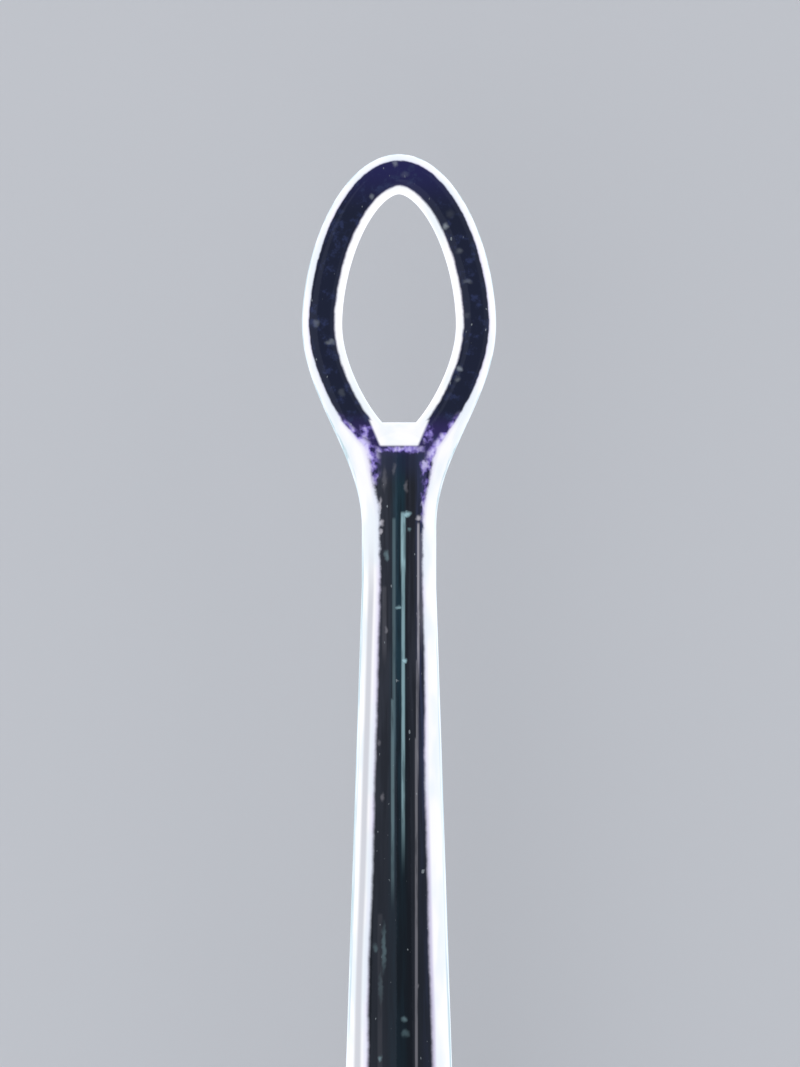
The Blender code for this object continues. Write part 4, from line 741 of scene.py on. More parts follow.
class CURETTE_OT_nose(bpy.types.Operator):
    """Builds the turned nose tube, its O-ring, the trim ring and the lamp"""

    bl_idname = "curette.nose"
    bl_label = "Nose and lamp"

    def execute(self, context):
        self.tube()
        o_ring("nose_ring", "nose_o_ring", "handle")
        self.trim()
        self.lamp()
        return {"FINISHED"}

    def tube(self):
        """The tube: a bore that widens behind the lamp's flange, a groove for the O-ring and a flange
        that the shells hold."""
        start, end = low("nose_tube"), high("nose_tube")
        outside, groove_floor, chamfer, corner = 3.6 * MM, 2.925 * MM, 0.3 * MM, 0.06 * MM
        bore, wide_bore, wide_end = 2.55 * MM, 2.95 * MM, start + 11.5 * MM
        flange, flange_start, flange_end = 4.3 * MM, start + 1.2 * MM, start + 2.6 * MM
        profile = [
            (start, wide_bore),
            (wide_end, wide_bore),
            (wide_end, bore),
            (end, bore),
            (end, outside - chamfer),
            (end - chamfer, outside),
            *o_ring_groove("nose_o_ring", outside, groove_floor),
            (flange_end, outside),
            (flange_end, flange),
            (flange_start, flange),
            (flange_start, outside),
            (start, outside),
        ]
        soft = rounded(profile, corner, closed=True)
        spin("turned_nose", soft, 128, "handle", "nose_tube", "bright_aluminium")

    def trim(self):
        """The ring between handle and hub, with sloped edges and a fine groove in the middle."""
        start, end, outer = low("trim_ring"), high("trim_ring"), high("trim_ring", 0)
        bore, edge, groove, corner = 3.7 * MM, 0.4 * MM, 0.12 * MM, 0.08 * MM
        middle = (start + end) / 2
        profile = [
            (start, bore),
            (end, bore),
            (end, outer - edge),
            (end - edge, outer),
            (middle + groove, outer),
            (middle, outer - groove),
            (middle - groove, outer),
            (start + edge, outer),
            (start, outer - edge),
        ]
        soft = rounded(profile, corner, closed=True)
        spin("bright_ring", soft, 144, "handle", "trim_ring", "bright_aluminium")

    def lamp(self):
        """A domed lamp: flange, straight body and half a sphere."""
        lip, flange_length, corner = 0.4 * MM, 1 * MM, 0.1 * MM
        start, end, flange = low("led"), high("led"), high("led", 0)
        radius, flange_end = flange - lip, start + flange_length
        turn = np.linspace(0, QUARTER_TURN, 24)
        dome = np.stack([end - radius + radius * np.sin(turn), radius * np.cos(turn)], axis=1)
        base = [(start, 0), (start, flange), (flange_end, flange), (flange_end, radius), tuple(dome[0])]
        dome[-1, 1] = 0
        profile = np.vstack([rounded(base, corner)[:-1], dome])
        spin("domed_lamp", profile, 96, "handle", "led", "lamp_epoxy", closed=False)


class CURETTE_OT_button(bpy.types.Operator):
    """Builds the thumb button: a ridged pad with rounded corners, and its stem through the slot"""

    bl_idname = "curette.button"
    bl_label = "Thumb button"

    def execute(self, context):
        stem_width, foot_width, post_length, corner = 1.6 * MM, 3.0 * MM, 2.6 * MM, 0.15 * MM
        foot_bottom, stem_bottom, stem_top = 3.6 * MM, 4.7 * MM, 5.9 * MM
        middle = (low("thumb_button") + high("thumb_button")) / 2
        sheets = self.pad_sheets()
        for width, bottom, top in (
            (stem_width, stem_bottom, stem_top),
            (foot_width, foot_bottom, stem_bottom),
        ):
            outline = rounded_box_outline(middle, post_length / 2, width / 2, corner)
            sheets.append(upright(outline, bottom, top))
        mesh = mesh_of("ridged_button", sheets)
        piece("ridged_button", mesh, "switch", ["thumb_button"], "button_plastic")
        return {"FINISHED"}

    def pad_sheets(self):
        """The pad: a section with rounded upper edges, carried along. Its height is a fourth-power
        crown less cosine ridges, and its width draws in at the ends on quarter circles."""
        thickness, corner, fillet = 1.2 * MM, 0.6 * MM, 0.3 * MM
        ridges, ridge_depth, edge_columns = 5, 0.3 * MM, 8
        start, end, half_width = low("thumb_button"), high("thumb_button"), high("thumb_button", 0)
        bottom = high("thumb_button", 2) - AXIS_HEIGHT - thickness
        share = (1 - np.cos(np.linspace(0, math.pi, 161)))[:, None] / 2
        y = start + (end - start) * share
        crown = 1 - (2 * share - 1) ** 4
        ridge = (1 - np.cos(FULL_TURN * ridges * share)) / 2
        tall = thickness * (1 + crown) / 2 + ridge_depth * (ridge - 1) * crown
        near_end = np.clip(corner - np.minimum(y - start, end - y), 0, corner)
        half = half_width - corner + np.sqrt(corner**2 - near_end**2)
        turn = np.linspace(0, QUARTER_TURN, edge_columns)
        side = np.ones(edge_columns)
        across = np.concatenate([[1], side, -side, [-1]])
        rise = np.concatenate([[0], side, side, [0]])
        round_x = np.concatenate([[0], np.cos(turn) - 1, 1 - np.cos(turn[::-1]), [0]])
        round_z = np.concatenate([[0], np.sin(turn) - 1, np.sin(turn[::-1]) - 1, [0]])
        x = across * half + fillet * round_x
        z = bottom + rise * tall + fillet * round_z
        pad = np.stack([x, y + 0 * x, z], axis=-1)
        half_columns = pad.shape[1] // 2
        caps = [np.stack([row, row[::-1]])[:, :half_columns] for row in (pad[0], pad[-1])]
        return [(pad, False, True)] + [(cap, False, False) for cap in caps]


class CURETTE_OT_tail(bpy.types.Operator):
    """Builds the fluted tail cap with its threaded stub, its O-ring and the battery tube"""

    bl_idname = "curette.tail"
    bl_label = "Tail cap and battery tube"

    def execute(self, context):
        self.cap()
        o_ring("tail_ring", "tail_o_ring", "tail")
        self.battery_tube()
        return {"FINISHED"}

    def cap(self):
        """The cap: a rounded end, a fluted skirt, a threaded stub with the O-ring's groove, and the
        spring's room inside."""
        shell_gap, edge, round_end, corner, spacing = 0.3 * MM, 0.3 * MM, 1.2 * MM, 0.05 * MM, 0.085 * MM
        stub, groove_floor, bore, bore_floor = 4.4 * MM, 3.75 * MM, 3.3 * MM, TAIL_END + 1.8 * MM
        flutes, flute_depth, run_out = 12, 0.22 * MM, 0.5 * MM
        cap_radius = high("tail_cap", 0)
        cap_end, stub_end = low("upper_shell") - shell_gap, high("tail_cap")
        flutes_start, flutes_end = TAIL_END + 1.6 * MM, cap_end - 0.35 * MM
        groove = o_ring_groove("tail_o_ring", stub, groove_floor)
        groove_end = groove[0][0]
        thread_start, thread_run_out = groove_end + 0.4 * MM, 0.3 * MM
        turn = np.linspace(0, QUARTER_TURN, 10)
        end_along = TAIL_END + round_end * (1 - np.cos(turn))
        end_radius = cap_radius - round_end * (1 - np.sin(turn))
        rest = [
            (TAIL_END + round_end, cap_radius),
            (cap_end - edge, cap_radius),
            (cap_end, cap_radius - edge),
            (cap_end, stub),
            *groove[::-1],
            (stub_end - edge, stub),
            (stub_end, stub - edge),
            (stub_end, bore),
            (bore_floor, bore),
            (bore_floor, 0),
        ]
        end_curve = np.stack([end_along, end_radius], axis=1)[:-1]
        profile = dense(np.vstack([[(TAIL_END, 0)], end_curve, rounded(rest, corner)]), spacing)

        def relief(distance, radius, angle):
            """The flutes of the skirt, and the thread's groove on the stub."""
            skirt = window(distance, flutes_start, flutes_end, run_out) * (radius > cap_radius - corner)
            flute = flute_depth * skirt * (1 - np.cos(flutes * angle)) / 2
            threaded = window(distance, thread_start, stub_end - edge, thread_run_out)
            on_stub = (radius > (bore + stub) / 2) & (radius < stub + corner)
            valley = thread_groove(distance - stub_end, angle, THREAD_PITCH)
            return flute + THREAD_DEPTH * threaded * on_stub * valley

        spin("fluted_cap", profile, 192, "tail", "tail_cap", "shell_plastic", False, relief)

    def battery_tube(self):
        """The tube that holds the cells: threaded mouth, flange and front wall."""
        start, end = low("battery_tube"), high("battery_tube")
        mouth, mouth_outer, bore, outer = 4.5 * MM, 5.2 * MM, 4.1 * MM, 4.8 * MM
        flange, flange_start, flange_end = high("battery_tube", 0), start + 5.6 * MM, start + 7.3 * MM
        shoulder, front_wall, front_hole = start + 6.1 * MM, end - 1 * MM, 1.2 * MM
        thread_start, thread_end, run_out = start + 1.4 * MM, start + 5.4 * MM, 0.3 * MM
        corner, spacing = 0.05 * MM, 0.08 * MM
        profile = [
            (start, mouth),
            (shoulder, mouth),
            (shoulder, bore),
            (front_wall, bore),
            (front_wall, front_hole),
            (end, front_hole),
            (end, outer),
            (flange_end, outer),
            (flange_end, flange),
            (flange_start, flange),
            (flange_start, mouth_outer),
            (start, mouth_outer),
        ]
        profile = rounded(profile, corner, closed=True)
        profile = dense(np.vstack([profile, profile[:1]]), spacing)[:-1]

        def relief(distance, radius, angle):
            """The thread's groove in the mouth."""
            threaded = window(distance, thread_start, thread_end, run_out)
            in_mouth = np.abs(radius - mouth) < corner
            valley = thread_groove(distance - start, angle, THREAD_PITCH)
            return -THREAD_DEPTH * threaded * in_mouth * valley

        spin("cell_tube", profile, 128, "handle", "battery_tube", "dark_plastic", True, relief)


class CURETTE_OT_screws(bpy.types.Operator):
    """Builds the two pan-head screws with cross recesses"""

    bl_idname = "curette.screws"
    bl_label = "Shell screws"

    def execute(self, context):
        for node, name in (("shell_screw_rear", "rear_screw"), ("shell_screw_front", "front_screw")):
            spun = self.spun_screw(node)
            centre = (low(node) + high(node)) / 2
            standing = np.stack([spun[..., 0], centre + spun[..., 2], spun[..., 1]], axis=-1)
            mesh = mesh_of(name, [(standing, False, True)])
            piece(name, mesh, "handle", [node], "nickel")
        return {"FINISHED"}

    def spun_screw(self, node):
        """A screw along the long axis, its head first: a turned profile less the cross recess and the
        thread's groove."""
        bottom, top = low(node, 2) - AXIS_HEIGHT, high(node, 2) - AXIS_HEIGHT
        head, shank, head_height, dome_height = high(node, 0), 0.8 * MM, 0.9 * MM, 0.35 * MM
        recess, half_arm, recess_depth, wall_depth = 0.75 * MM, 0.16 * MM, 0.6 * MM, 0.5 * MM
        lip, recess_rim, floor_share, flat_share = 0.02 * MM, 0.765 * MM, 0.6, 0.72
        corner, spacing, least_sine = 0.05 * MM, 0.1 * MM, 0.1
        pitch, depth, plain_length = 0.35 * MM, 0.12 * MM, 0.4 * MM
        under_head = bottom + head_height
        profile = [
            (bottom + recess_depth, 0),
            (bottom + wall_depth, recess * floor_share),
            (bottom + lip, recess),
            (bottom + 2 * lip, head * flat_share),
            (bottom + dome_height, head),
            (under_head, head),
            (under_head, shank),
            (top, shank),
            (top, 0),
        ]

        def relief(distance, radius, angle):
            """A recess in the head with four straight arms, and a fine thread on the shank."""
            from_arm = np.abs((angle + QUARTER_TURN / 2) % QUARTER_TURN - QUARTER_TURN / 2)
            cross = radius - np.minimum(radius, half_arm / np.maximum(np.sin(from_arm), least_sine))
            in_recess = (radius <= recess_rim) & (distance < bottom + recess_depth - lip)
            threaded = (distance > under_head + plain_length) & (radius > shank * 0.9)
            return cross * in_recess + depth * threaded * thread_groove(distance, angle, pitch)

        return turned(dense(rounded(profile, corner), spacing), 120, relief)


def feed(tree, node, inputs):
    """Gives each of some sockets of a node its value, or joins it to the socket that is given."""
    for key, value in inputs.items():
        if isinstance(value, bpy.types.NodeSocket):
            tree.links.new(value, node.inputs[key])
        else:
            node.inputs[key].default_value = value


def put(tree, kind, inputs=None, **settings):
    """Adds a node with its settings, and feeds its sockets."""
    made = tree.nodes.new(kind)
    for key, value in settings.items():
        setattr(made, key, value)
    feed(tree, made, inputs or {})
    return made


def maths(tree, operation, *values):
    """One step of arithmetic on numbers or sockets."""
    return put(tree, "ShaderNodeMath", dict(enumerate(values)), operation=operation).outputs[0]


def times(tree, first, second):
    """The product of two numbers or sockets."""
    return maths(tree, "MULTIPLY", first, second)


def most(tree, first, second):
    """The larger of two numbers or sockets."""
    return maths(tree, "MAXIMUM", first, second)


def slope(tree, value, start, end, at_start=0.0, at_end=1.0, kind="SMOOTHSTEP"):
    """A soft step from one value to another between two places, or a straight run."""
    inputs = {"Value": value, "From Min": start, "From Max": end, "To Min": at_start, "To Max": at_end}
    return put(tree, "ShaderNodeMapRange", inputs, interpolation_type=kind).outputs[0]


def band(tree, value, centre, half_width, soft):
    """1 within half_width of the centre, falling to 0 over the soft edge."""
    away = maths(tree, "ABSOLUTE", maths(tree, "SUBTRACT", value, centre))
    return slope(tree, away, half_width, half_width + soft, 1.0, 0.0)


def blend(tree, share, first, second, kind="MIX"):
    """The first colour with a share of the second laid over it."""
    inputs = {0: share, 6: first, 7: second}
    return put(tree, "ShaderNodeMix", inputs, data_type="RGBA", blend_type=kind).outputs[2]


def speckle(tree, vector, scale, detail=2.0, roughness=0.5):
    """A noise of 0 to 1. The scale is in grains per unit of the place."""
    inputs = {"Vector": vector, "Scale": scale, "Detail": detail, "Roughness": roughness}
    return put(tree, "ShaderNodeTexNoise", inputs).outputs["Fac"]


def millimetres(tree, stretch=(1, 1, 1)):
    """The object's own coordinates in millimetres, stretched along the axes."""
    place = put(tree, "ShaderNodeTexCoord").outputs["Object"]
    scale = tuple(s / MM for s in stretch)
    return put(tree, "ShaderNodeVectorMath", {0: place, 1: scale}, operation="MULTIPLY").outputs[0]


def wandering(tree, value, seed, reach=0.2):
    """The value, moved a little by a slow noise, so that edges laid out on it come out uneven."""
    place = put(tree, "ShaderNodeVectorMath", {0: millimetres(tree), 1: (seed, 0.0, 0.0)}).outputs[0]
    drift = maths(tree, "SUBTRACT", speckle(tree, place, 6.0), 0.5)
    return maths(tree, "MULTIPLY_ADD", drift, reach, value)


def effect(name, inputs, outputs):
    """A node group with named sockets, with what it is given and the node that takes its results."""
    group = bpy.data.node_groups.new(name, "ShaderNodeTree")
    for label, kind, default in inputs:
        group.interface.new_socket(name=label, in_out="INPUT", socket_type=kind).default_value = default
    for label, kind in outputs:
        group.interface.new_socket(name=label, in_out="OUTPUT", socket_type=kind)
    return group, put(group, "NodeGroupInput").outputs, put(group, "NodeGroupOutput")


def use(tree, build, inputs):
    """The outputs of a shared effect, which is built under its own name when it is first used."""
    group = bpy.data.node_groups.get(build.__name__) or build(build.__name__)
    return put(tree, "ShaderNodeGroup", inputs, node_tree=group).outputs


def moulded_skin(name):
    """Fine satin grain and slow waves of a moulded surface."""
    group, given, result = effect(
        name,
        [("Grain", "NodeSocketFloat", 6.0), ("Waves", "NodeSocketFloat", 0.12)],
        [("Height", "NodeSocketFloat"), ("Mask", "NodeSocketFloat")],
    )
    place = millimetres(group)
    grain = speckle(group, place, given["Grain"], 3.0, 0.6)
    waves = speckle(group, place, given["Waves"], 1.0)
    height = maths(group, "MULTIPLY_ADD", waves, 0.8, grain)
    feed(group, result, {"Height": height, "Mask": slope(group, grain, 0.35, 0.65)})
    return group


def turning_marks(name):
    """Fine rings left by a lathe tool along the long axis."""
    group, given, result = effect(
        name,
        [("Marks per mm", "NodeSocketFloat", 14.0)],
        [("Height", "NodeSocketFloat"), ("Mask", "NodeSocketFloat")],
    )
    place = millimetres(group, (0.02, 1, 0.02))
    rings = speckle(group, place, given["Marks per mm"], 2.0, 0.7)
    feed(group, result, {"Height": rings, "Mask": slope(group, rings, 0.3, 0.7)})
    return group


def handling(name):
    """Soft patches where fingers have polished or dulled a surface, and thin scratches."""
    group, given, result = effect(
        name,
        [("Patches", "NodeSocketFloat", 0.35)],
        [("Patches", "NodeSocketFloat"), ("Scratches", "NodeSocketFloat")],
    )
    place = millimetres(group)
    patches = speckle(group, place, given["Patches"], 3.0, 0.6)
    slant = {"Vector": place, "Rotation": (0.3, 0.2, 0.6), "Scale": (3.0, 0.25, 1.0)}
    lines = speckle(group, put(group, "ShaderNodeMapping", slant).outputs[0], 2.0, 5.0, 0.7)
    patches, scratches = slope(group, patches, 0.35, 0.7), slope(group, lines, 0.66, 0.72)
    feed(group, result, {"Patches": patches, "Scratches": scratches})
    return group


def painted(name, fill, *sizes):
    """The material of that name. Where it isn't there, fill(tree, shader, *sizes) lays out its nodes."""
    made = bpy.data.materials.get(name)
    if not made:
        made = bpy.data.materials.new(name)
        made.use_nodes = True
        fill(made.node_tree, made.node_tree.nodes["Principled BSDF"], *sizes)
    return made


def rgba(value, gain=1.0):
    """A solid colour, made darker or brighter by the gain."""
    return (*[min(v * gain, 1.0) for v in value], 1.0)


def tint(name, gain=1.0):
    """The same for one of the add-on's finishes, by its name."""
    return rgba(getattr(bpy.context.scene.curette_finishes, name), gain)


def bump(tree, height, depth):
    """The normal that a height gives, with the relief's depth in millimetres."""
    inputs = {"Height": height, "Distance": depth * MM, "Strength": 1.0}
    return put(tree, "ShaderNodeBump", inputs).outputs[0]


def plastic(tree, shader, shade, roughness, grain, depth, sheen=0.0, contrast=0.12):
    """A moulded plastic or rubber: fine grain, soft patches of wear and thin scratches."""
    skin = use(tree, moulded_skin, {"Grain": grain, "Waves": 0.12})
    worn = use(tree, handling, {"Patches": 0.3})
    dark, pale = tint(shade, 1 - contrast), tint(shade, 1 + contrast / 3)
    toned = blend(tree, skin["Mask"], dark, pale)
    toned = blend(tree, times(tree, worn["Scratches"], 0.12), toned, tint(shade, 0.6))
    rough = slope(tree, worn["Patches"], 0.0, 1.0, roughness - 0.06, roughness + 0.08)
    relief = bump(tree, skin["Height"], depth)
    feed(tree, shader, {"Base Color": toned, "Roughness": rough, "Sheen Weight": sheen, "Normal": relief})


def turned_metal(tree, shader, shade, roughness, marks, depth):
    """A metal with lathe rings, finger marks and thin scratches."""
    rings = use(tree, turning_marks, {"Marks per mm": marks})
    worn = use(tree, handling, {"Patches": 0.45})
    toned = blend(tree, rings["Mask"], tint(shade, 0.9), tint(shade, 1.03))
    toned = blend(tree, times(tree, worn["Scratches"], 0.25), toned, tint(shade, 0.55))
    rough = slope(tree, worn["Patches"], 0.0, 1.0, roughness, roughness + 0.14)
    relief = bump(tree, rings["Height"], depth)
    feed(tree, shader, {"Base Color": toned, "Roughness": rough, "Metallic": 1.0, "Normal": relief})


def lamp_epoxy(tree, shader):
    """Clear cast epoxy with the chip's light in its dome."""
    depth = put(tree, "ShaderNodeSeparateXYZ", {0: millimetres(tree)}).outputs[1]
    lens_end = high("led") / MM
    lit = slope(tree, depth, lens_end - 6.0, lens_end, 0.15, 1.0)
    cloud = speckle(tree, millimetres(tree), 1.2, 2.0)
    lit = times(tree, lit, maths(tree, "MULTIPLY_ADD", cloud, 0.3, 0.85))
    glow = blend(tree, lit, tint("violet", 0.5), tint("rim"))
    cast = blend(tree, cloud, (0.9, 0.92, 0.97, 1), (0.97, 0.97, 1, 1))
    feed(tree, shader, {"Base Color": cast, "Transmission Weight": 0.7, "Roughness": 0.06, "IOR": 1.5})
    feed(tree, shader, {"Emission Color": glow, "Emission Strength": 0.9})


def board_laminate(tree, shader):
    """Green solder mask over tracks and lands, laid out as soft-edged bands along the board."""
    place = put(tree, "ShaderNodeSeparateXYZ", {0: millimetres(tree)}).outputs
    wave = maths(tree, "PINGPONG", maths(tree, "MULTIPLY_ADD", place[1], 0.12, place[0]), 0.8)
    tracks = slope(tree, wave, 0.22, 0.26, 1.0, 0.0)
    toned = blend(tree, tracks, tint("laminate"), tint("laminate", 1.7))
    step = maths(tree, "PINGPONG", place[1], 2.5)
    lands = times(tree, tracks, band(tree, step, 0.0, 0.3, 0.05))
    toned = blend(tree, lands, toned, tint("copper"))
    rough = slope(tree, speckle(tree, millimetres(tree), 2.0), 0.3, 0.7, 0.25, 0.4)
    feed(tree, shader, {"Base Color": toned, "Roughness": rough})


# Each slot's material: its name, what fills it, its colour, its roughness, the grains or marks in a
# millimetre and the relief's depth in millimetres, and for some plastics their sheen and contrast
SLOTS = {
    "shell_plastic": ("satin_shell", plastic, "shell", 0.4, 7.0, 0.012),
    "soft_rubber": ("soft_sleeve", plastic, "sleeve", 0.72, 5.0, 0.025, 0.15, 0.2),
    "button_plastic": ("satin_button", plastic, "button", 0.42, 8.0, 0.015),
    "black_rubber": ("ring_rubber", plastic, "rubber", 0.5, 9.0, 0.008, 0.0, 0.25),
    "dark_plastic": ("black_nylon", plastic, "nylon", 0.45, 6.0, 0.012, 0.0, 0.25),
    "bright_aluminium": ("turned_aluminium", turned_metal, "aluminium", 0.22, 12.0, 0.006),
    "nickel": ("nickel_plate", turned_metal, "nickel", 0.2, 5.0, 0.002),
    "lamp_epoxy": ("lamp_lens", lamp_epoxy),
    "board_laminate": ("solder_mask", board_laminate),
}


def finish(slot):
    """The material of a slot."""
    return painted(*SLOTS[slot])


# Painted reflections in the clear stem, in millimetres: (across, half width, start and end behind the
# tip, share)
TEAL_STREAKS = (
    (0.085, 0.042, 7.38, 8.8, 0.85),
    (0.085, 0.032, 8.4, 14.9, 0.58),
    (-0.105, 0.03, 7.5, 13.4, 0.15),
    (-0.13, 0.032, 11.2, 15.6, 0.24),
)
TEAL_SPOTS = (
    (0.15, 0.11, 7.37, 7.49, 0.8),
    (-0.01, 0.09, 9.27, 9.38, 0.5),
    (0.12, 0.06, 10.34, 10.48, 0.9),
    (0.2, 0.05, 7.68, 7.8, 0.25),
    (-0.26, 0.06, 8.1, 8.4, 0.22),
    (-0.31, 0.06, 15.7, 16.9, 0.16),
    (-0.37, 0.05, 16.7, 17.5, 0.07),
    (0.1, 0.08, 17.66, 17.84, 0.22),
    (0.14, 0.11, 17.95, 18.15, 0.12),
    (-0.38, 0.06, 18.45, 18.65, 0.28),
    (-0.48, 0.05, 16.2, 16.4, 0.12),
)
MAUVE_STREAKS = (
    (0.395, 0.022, 7.6, 11.2, 0.75),
    (0.375, 0.024, 10.4, 13.2, 0.38),
    (0.355, 0.026, 12.0, 44.0, 0.32),
    (0.46, 0.03, 7.8, 10.4, 0.2),
    (-0.3, 0.04, 8.9, 10.6, 0.08),
    (-0.39, 0.045, 15.6, 20.0, 0.05),
)
MAUVE_SPOTS = (
    (0.41, 0.075, 7.42, 7.6, 1.0),
    (-0.385, 0.045, 7.05, 7.46, 0.9),
    (-0.36, 0.07, 7.5, 7.68, 1.0),
    (-0.385, 0.05, 7.7, 7.86, 0.9),
    (0.15, 0.05, 6.7, 7.0, 0.2),
    (-0.1, 0.05, 6.36, 6.66, 0.14),
    (-0.3, 0.06, 6.4, 7.0, 0.14),
    (-0.27, 0.05, 9.7, 9.9, 0.3),
    (0.4, 0.05, 9.4, 9.6, 0.5),
    (-0.41, 0.06, 12.0, 12.2, 0.2),
    (-0.34, 0.05, 13.1, 13.3, 0.25),
    (0.36, 0.045, 17.0, 17.2, 0.3),
)
# Painted pale glints in the loop's band, with the same columns
LOOP_GLINTS = (
    (-0.08, 0.08, 0.15, 0.3, 0.26),
    (0.12, 0.11, 0.36, 0.54, 0.06),
    (-0.56, 0.08, 0.8, 0.97, 0.24),
    (1.05, 0.12, 1.13, 1.37, 0.04),
    (0.96, 0.08, 1.42, 1.6, 0.36),
    (1.24, 0.1, 1.95, 2.1, 0.12),
    (1.41, 0.12, 2.58, 2.72, 0.14),
    (1.4, 0.08, 3.24, 3.42, 0.06),
    (-1.7, 0.08, 3.4, 3.6, 0.14),
    (-1.42, 0.13, 3.81, 3.96, 0.2),
    (1.24, 0.08, 4.34, 4.52, 0.34),
    (1.2, 0.09, 4.58, 4.74, 0.16),
    (-1.18, 0.09, 4.83, 5.03, 0.07),
)
# Mottled spots of painted violet light round the crotch, with the same columns
VIOLET_SPOTS = (
    (0.0, 0.44, 6.02, 6.16, 1.0),
    (-0.64, 0.13, 5.58, 5.92, 0.9),
    (0.6, 0.09, 5.58, 5.98, 0.9),
    (0.53, 0.06, 6.3, 7.7, 0.75),
    (-0.5, 0.05, 6.25, 6.9, 0.7),
)


def streaks(tree, across, back, table):
    """The brightest of a set of long soft lines. Each starts within a tenth of a millimetre and fades
    over its last third."""
    found = 0.0
    for centre, half_width, start, end, share in table:
        line = band(tree, across, centre, half_width * 0.5, half_width * 1.1)
        rise = slope(tree, back, start - 0.03, start + 0.05)
        fall = slope(tree, back, end - (end - start) / 3, end + 0.03, share, 0.0)
        mask = times(tree, line, times(tree, rise, fall))
        found = most(tree, found, mask)
    return found


def dots(tree, across, back, table):
    """The brightest of a set of soft oval spots: each fades with the square root of
    (offset across / half width)² + (offset along / half length)²."""
    found = 0.0
    for centre, half_width, start, end, share in table:
        sideways = maths(tree, "DIVIDE", maths(tree, "SUBTRACT", across, centre), half_width)
        middle, half_length = (start + end) / 2, (end - start) / 2
        along = maths(tree, "DIVIDE", maths(tree, "SUBTRACT", back, middle), half_length)
        offset = put(tree, "ShaderNodeCombineXYZ", {0: sideways, 1: along}).outputs[0]
        away = put(tree, "ShaderNodeVectorMath", {0: offset}, operation="LENGTH").outputs["Value"]
        found = most(tree, found, slope(tree, away, 0.15, 1.1, share, 0.0))
    return found


def ramp(tree, value, stops):
    """A colour for each place along a value: stops is a list of (place, colour)."""
    made = put(tree, "ShaderNodeValToRGB", {0: value})
    steps = made.color_ramp.elements
    for place, shade in stops[1:-1]:
        steps.new(place).color = shade
    steps[0].position, steps[0].color = stops[0]
    steps[-1].position, steps[-1].color = stops[-1]
    return made.outputs[0]


def core_glow(tree, tip, hub, across, back):
    """Painted shade: the dark that shows down through the clear moulding, painted as emission: slow
    cloudy tones, dark teal strips along the stem, and a bluer crown, with painted dark violet at the
    crotch."""
    mottle = speckle(tree, millimetres(tree), 4.0, 5.0, 0.7)
    drawn = speckle(tree, millimetres(tree, (9, 0.5, 9)), 1.0, 3.0, 0.6)
    start, end = stem_start(tip) / MM, stem_end(hub) / MM
    neck, root = tip.neck_width / 2 / MM, tip.stem_root / 2 / MM
    radius = slope(tree, back, start, end, neck, root, "LINEAR")
    place = maths(tree, "MULTIPLY_ADD", maths(tree, "DIVIDE", across, radius), 0.5, 0.5)
    strips = ramp(
        tree,
        place,
        [
            (0.2, tint("core_warm", 0.55)),
            (0.37, tint("core_warm", 0.45)),
            (0.43, tint("core_teal")),
            (0.56, tint("core_teal", 0.8)),
            (0.6, tint("core_warm", 0.35)),
            (0.7, tint("core_warm", 0.4)),
            (0.77, tint("core_slate")),
        ],
    )
    crown = slope(tree, back, 0.2, 1.3, 0.9, 0.0)
    loop = blend(tree, crown, tint("core_slate", 0.45), tint("core_blue", 0.8))
    at_crotch = band(tree, back, 6.0, 0.25, 0.5)
    loop = blend(tree, at_crotch, loop, tint("violet_dark", 0.7))
    loop = blend(tree, slope(tree, mottle, 0.5, 0.68, 0.0, 0.8), loop, tint("core_slate", 1.6))
    lines = slope(tree, drawn, 0.35, 0.65, 0.35, 1.3)
    strips = blend(tree, 1.0, strips, lines, "MULTIPLY")
    strips = blend(tree, slope(tree, back, 6.9, 6.3, 0.0, 0.6), strips, tint("core_slate", 0.8))
    strips = blend(tree, slope(tree, back, 9.5, 16.0, 0.0, 0.75), strips, tint("core_teal", 0.1))
    return blend(tree, slope(tree, back, 5.95, 6.3), loop, strips)


